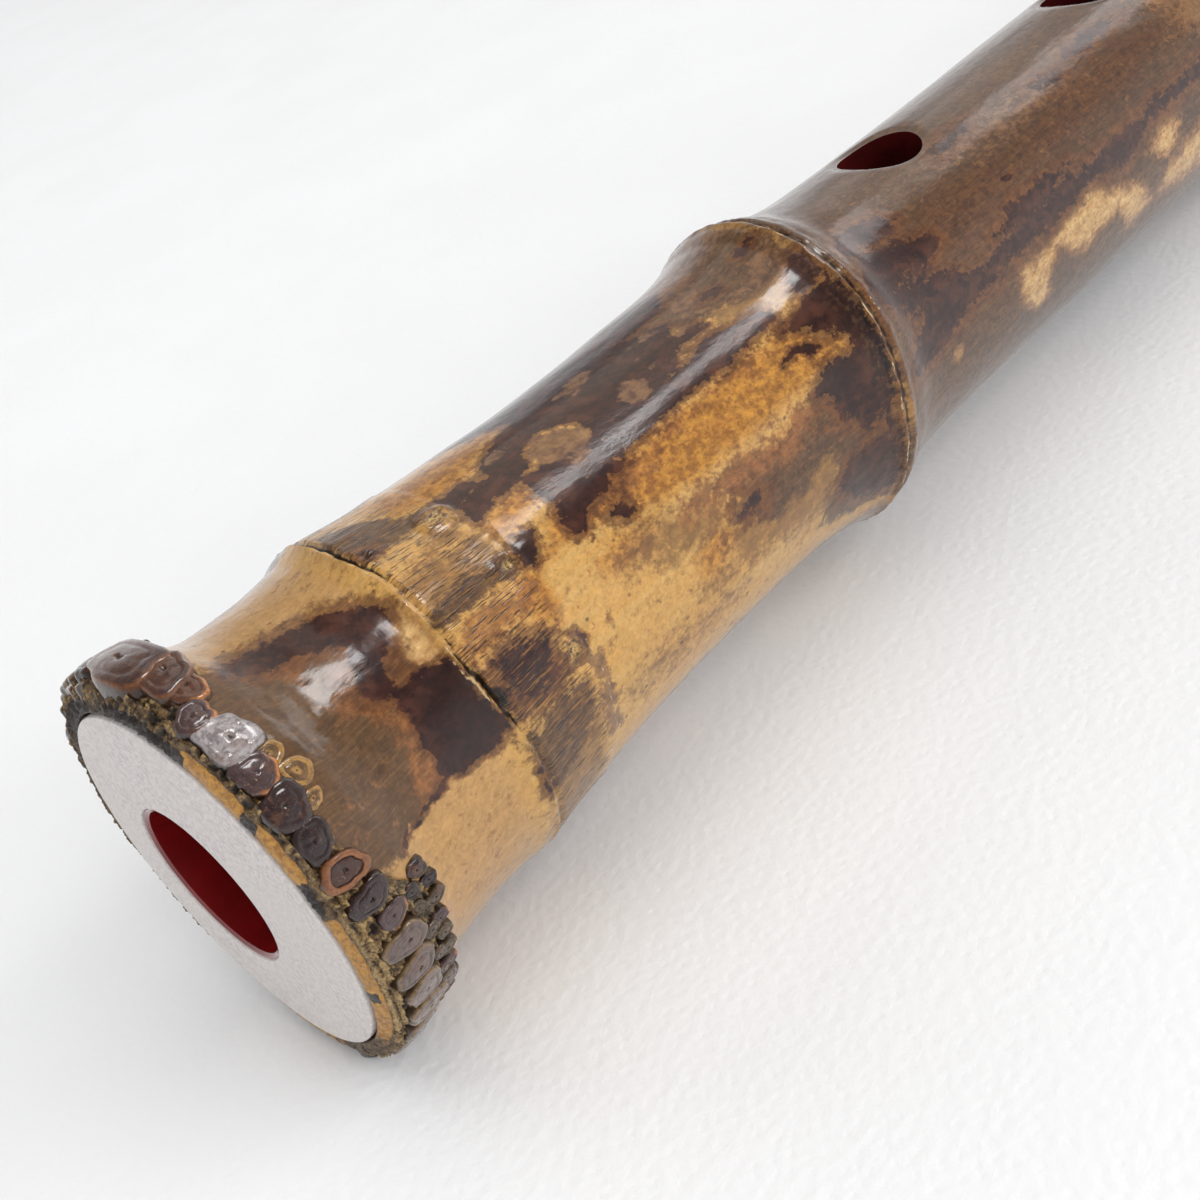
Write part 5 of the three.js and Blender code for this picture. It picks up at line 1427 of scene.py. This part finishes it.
def socket():
    x0 = JOINT_X + 0.15
    prof = [(x0, SOCKET_R + SOCKET_WALL), (SOCKET_END, SOCKET_R + SOCKET_WALL), (SOCKET_END, SOCKET_R), (x0 + 0.4, SOCKET_R), (x0 + 0.1, SOCKET_R + 0.12), (x0, SOCKET_R + 0.35)]
    ob = turned("socket", prof, 128)
    smooth(ob, 35)
    return dress(ob, "socket", ["dark_lacquered_wood"], ["socket_sleeve"])


socket()


def joint_ring(name, x0, x1, body, node):
    inner, R, b = SEAT_R + 0.3, 17.9, 0.22
    prof = [(x0, inner), (x0, R - b), (x0 + 0.06, R - 0.07), (x0 + b, R), (x0 + 0.7, R), (x0 + 0.78, R - 0.10), (x0 + 0.92, R - 0.10),
            (x0 + 1.0, R), (x1 - b, R), (x1 - 0.06, R - 0.07), (x1, R - b), (x1, inner)]
    ob = turned(name, prof, 160)
    smooth(ob, 35)
    return dress(ob, body, ["ring_metal"], [node])


joint_ring("ring_lower", JOINT_X - 0.15 - 1.95, JOINT_X - 0.15, "lower_joint", "lower_joint_ring")
joint_ring("ring_upper", JOINT_X + 0.15, JOINT_X + 0.15 + 1.95, "upper_joint", "upper_joint_ring")


def wound(name, x0, x1, body, node, seed):
    """Flat rattan wound side by side, one long strand, with its two ends tucked under."""
    rng = np.random.RandomState(seed)
    turns = int(round((x1 - x0) / 1.24)) - 1
    pitch = (x1 - x0 - 1.24) / turns
    per = 72
    n = turns * per + 1
    s = np.arange(n) / per
    phase = rng.rand(6) * 6.3
    sec_a = np.linspace(0, 2 * math.pi, 12, endpoint=False)
    su = 0.60 * np.sign(np.cos(sec_a)) * np.abs(np.cos(sec_a)) ** 0.7
    sv = 0.26 * np.sign(np.sin(sec_a)) * np.abs(np.sin(sec_a)) ** 0.8
    ang = 2 * math.pi * s + 1.1
    xc = x0 + 0.62 + s * pitch + 0.03 * np.sin(ang * 0.37 + phase[0])
    rc = 17.46 + 0.02 * np.sin(ang * 1.7 + phase[1]) - 0.30 * (1 - smoothstep(0, 0.12, s)) - 0.30 * (1 - smoothstep(0, 0.12, s[-1] - s))
    loops = np.stack([np.stack([xc[i] + su, (rc[i] + sv) * math.cos(ang[i]), (rc[i] + sv) * math.sin(ang[i])], -1) for i in range(n)])
    co = to_row(loops.reshape(-1, 3))
    k = 12
    faces = []
    for i in range(n - 1):
        for j in range(k):
            j2 = (j + 1) % k
            faces.append((i * k + j, i * k + j2, (i + 1) * k + j2, (i + 1) * k + j))
    faces += [tuple(range(k)), tuple(reversed(range((n - 1) * k, n * k)))]
    me = bpy.data.meshes.new(name)
    me.from_pydata([tuple(v) for v in co], [], faces)
    me.update()
    ob = bpy.data.objects.new(name, me)
    scene.collection.objects.link(ob)
    fix_normals(ob)
    smooth(ob, 60)
    dress(ob, body, ["rattan"], [node])
    # the bed under the strand, in the rattan's material
    bed = turned(name + "_bed", [(x0 + 0.05, 16.9), (x0 + 0.05, 17.28), (x0 + 0.25, 17.36), (x1 - 0.25, 17.36), (x1 - 0.05, 17.28), (x1 - 0.05, 16.9)], 96)
    smooth(bed, 35)
    dress(bed, body, ["rattan"])
    return ob


wound("binding_lower", SEAT_LOW + 0.3, JOINT_X - 0.15 - 1.95 - 0.3, "lower_joint", "lower_rattan_binding", 5)
wound("binding_upper", JOINT_X + 0.15 + 1.95 + 0.3, SEAT_HIGH - 0.3, "upper_joint", "upper_rattan_binding", 9)

# ---------------------------------------------------------------- the upper culm and the blowing edge
EDGE_ANGLE, EDGE_Z = math.radians(30), 9.6
INLAY = {"top": 13.2, "bottom": 9.6, "height": 9.5, "depth": 3.0}


def prism(name, outline, origin, across, up_, out, d0, d1):
    """A cutter or block: outline (u, v) swept from depth d0 to d1 along out."""
    o, ax, uy, oz = (np.array(v, float) for v in (origin, across, up_, out))
    pts = []
    for d in (d0, d1):
        for u, v in outline:
            pts.append(o + u * ax + v * uy + d * oz)
    n = len(outline)
    faces = [tuple(range(n)), tuple(reversed(range(n, 2 * n)))] + [(i, (i + 1) % n, n + (i + 1) % n, n + i) for i in range(n)]
    me = bpy.data.meshes.new(name)
    me.from_pydata([tuple(v) for v in to_row(np.array(pts))], [], faces)
    me.update()
    ob = bpy.data.objects.new(name, me)
    scene.collection.objects.link(ob)
    fix_normals(ob)
    return ob


SLOPE_UP = np.array([math.cos(EDGE_ANGLE), 0, -math.sin(EDGE_ANGLE)])
SLOPE_OUT = np.array([math.sin(EDGE_ANGLE), 0, math.cos(EDGE_ANGLE)])
SLOPE_ACROSS = np.cross(SLOPE_UP, SLOPE_OUT)
EDGE_AT = np.array([LENGTH + 0.5, 0, EDGE_Z])


def edge_wedge():
    return prism("wedge", [(-40, -60), (40, -60), (40, 12), (-40, 12)], EDGE_AT, SLOPE_ACROSS, SLOPE_UP, SLOPE_OUT, 0.0, 40.0)


def inlay_outline(grow, top_past=1.5):
    foot, w0, w1 = INLAY["height"] + grow, INLAY["bottom"] / 2 + grow, INLAY["top"] / 2 + grow
    return [(-w0, -foot), (w0, -foot), (w1, 0), (w1, top_past), (-w1, top_past), (-w1, 0)]


def upper_culm_skin():
    m = 208
    xs = stations((SEAT_HIGH, 272.5, 0.6), (272.5, 286, 0.6), (286, 302.5, 1.5), (302.5, 316, 0.6), (316, 320.5, 1.2), (320.5, 328, 0.42),
                  (328, 433, 1.9), (433, 441, 0.42), (441, 518, 1.7), (518, 534, 0.8), (534, 545, 0.4))
    a = np.linspace(0, 2 * math.pi, m, endpoint=False)
    X, A = np.meshgrid(xs, a, indexing="ij")
    extra = hole_dish(X, A, UPPER_HOLES) - 0.25 * (1 - smoothstep(0, 0.5, X - SEAT_HIGH))
    P = culm_surface(X, A, extra)
    P[..., 0] = np.minimum(P[..., 0], LENGTH)
    loops = list(P)
    for r in (15.2, 13.5, 11.35):
        loops.append(ring_of(LENGTH, r, m))
    for x in (LENGTH, 520, 430, 340, SOCKET_END + 0.3):
        loops.append(ring_of(x, float(bore(x)) + 1.5, m))
    loops.pop(-6)
    for x, r in ((SOCKET_END + 0.3, SOCKET_R + SOCKET_WALL + 0.3), (JOINT_X + 0.15, SOCKET_R + SOCKET_WALL + 0.3), (JOINT_X + 0.15, SEAT_R), (SEAT_HIGH, SEAT_R)):
        loops.append(ring_of(x, r, m))
    ob = outward(grid_mesh("upper_culm_skin", np.stack(loops)))
    pocket = prism("pocket", inlay_outline(0.12), EDGE_AT, SLOPE_ACROSS, SLOPE_UP, SLOPE_OUT, -(INLAY["depth"] + 0.12), 1.0)
    cut(ob, [hole_cutter(x, r, s) for x, r, s in UPPER_HOLES] + [edge_wedge(), pocket])
    put_stains(ob)
    smooth(ob, 42)
    dress(ob, "upper_joint", ["bamboo", "hole_lacquer_shaded"], ["upper_culm"])
    hole_walls(ob, UPPER_HOLES, 1)
    return ob


upper_culm_skin()


def upper_lining():
    prof = []
    for x in (SOCKET_END + 0.35, 300, 340, 380, 430, 480, 520, 540, LENGTH - 0.1):
        prof.append((x, float(bore(x)) + 1.2))
    prof += [(LENGTH, float(bore(LENGTH)) + 1.0), (LENGTH, float(bore(LENGTH)) + 0.3), (LENGTH - 0.25, float(bore(LENGTH)) + 0.03)]
    for x in (540, 520, 480, 430, 380, 340, 300, SOCKET_END + 0.35):
        prof.append((x, float(bore(x))))
    ob = turned("bore_lining_upper", prof, 128)
    pocket = prism("pocket", inlay_outline(0.12), EDGE_AT, SLOPE_ACROSS, SLOPE_UP, SLOPE_OUT, -(INLAY["depth"] + 0.12), 1.0)
    cut(ob, [hole_cutter(x, r - 0.02, s, 64) for x, r, s in UPPER_HOLES] + [edge_wedge(), pocket])
    smooth(ob, 35)
    return dress(ob, "upper_joint", ["red_lacquer"], ["upper_bore_lining"])


upper_lining()


def inlay():
    """The horn: flush with the slope, hollowed to the bore, its sharp edge at the mouth."""
    ob = prism("horn_inlay", inlay_outline(0.0), EDGE_AT, SLOPE_ACROSS, SLOPE_UP, SLOPE_OUT, -INLAY["depth"], 0.0)
    m = 128
    a = np.linspace(0, 2 * math.pi, m, endpoint=False)
    reach = turned("reach", [(515, 0.02), (515, float(bore(520))), (LENGTH + 6, float(bore(LENGTH))), (LENGTH + 6, 0.02)], m)
    past = prism("past", [(-40, -40), (40, -40), (40, 40), (-40, 40)], (LENGTH, 0, 0), (0, 1, 0), (0, 0, 1), (1, 0, 0), 0.0, 12.0)
    cut(ob, [past, reach], "EXACT")
    mod = ob.modifiers.new("ease", "BEVEL")
    mod.width, mod.segments, mod.limit_method, mod.angle_limit = 0.00012, 2, "ANGLE", math.radians(35)
    bpy.context.view_layer.update()
    done = bpy.data.meshes.new_from_object(ob.evaluated_get(bpy.context.evaluated_depsgraph_get()))
    ob.modifiers.clear()
    ob.data = done
    smooth(ob, 35)
    return dress(ob, "upper_joint", ["horn"], ["blowing_edge_inlay"])


inlay()
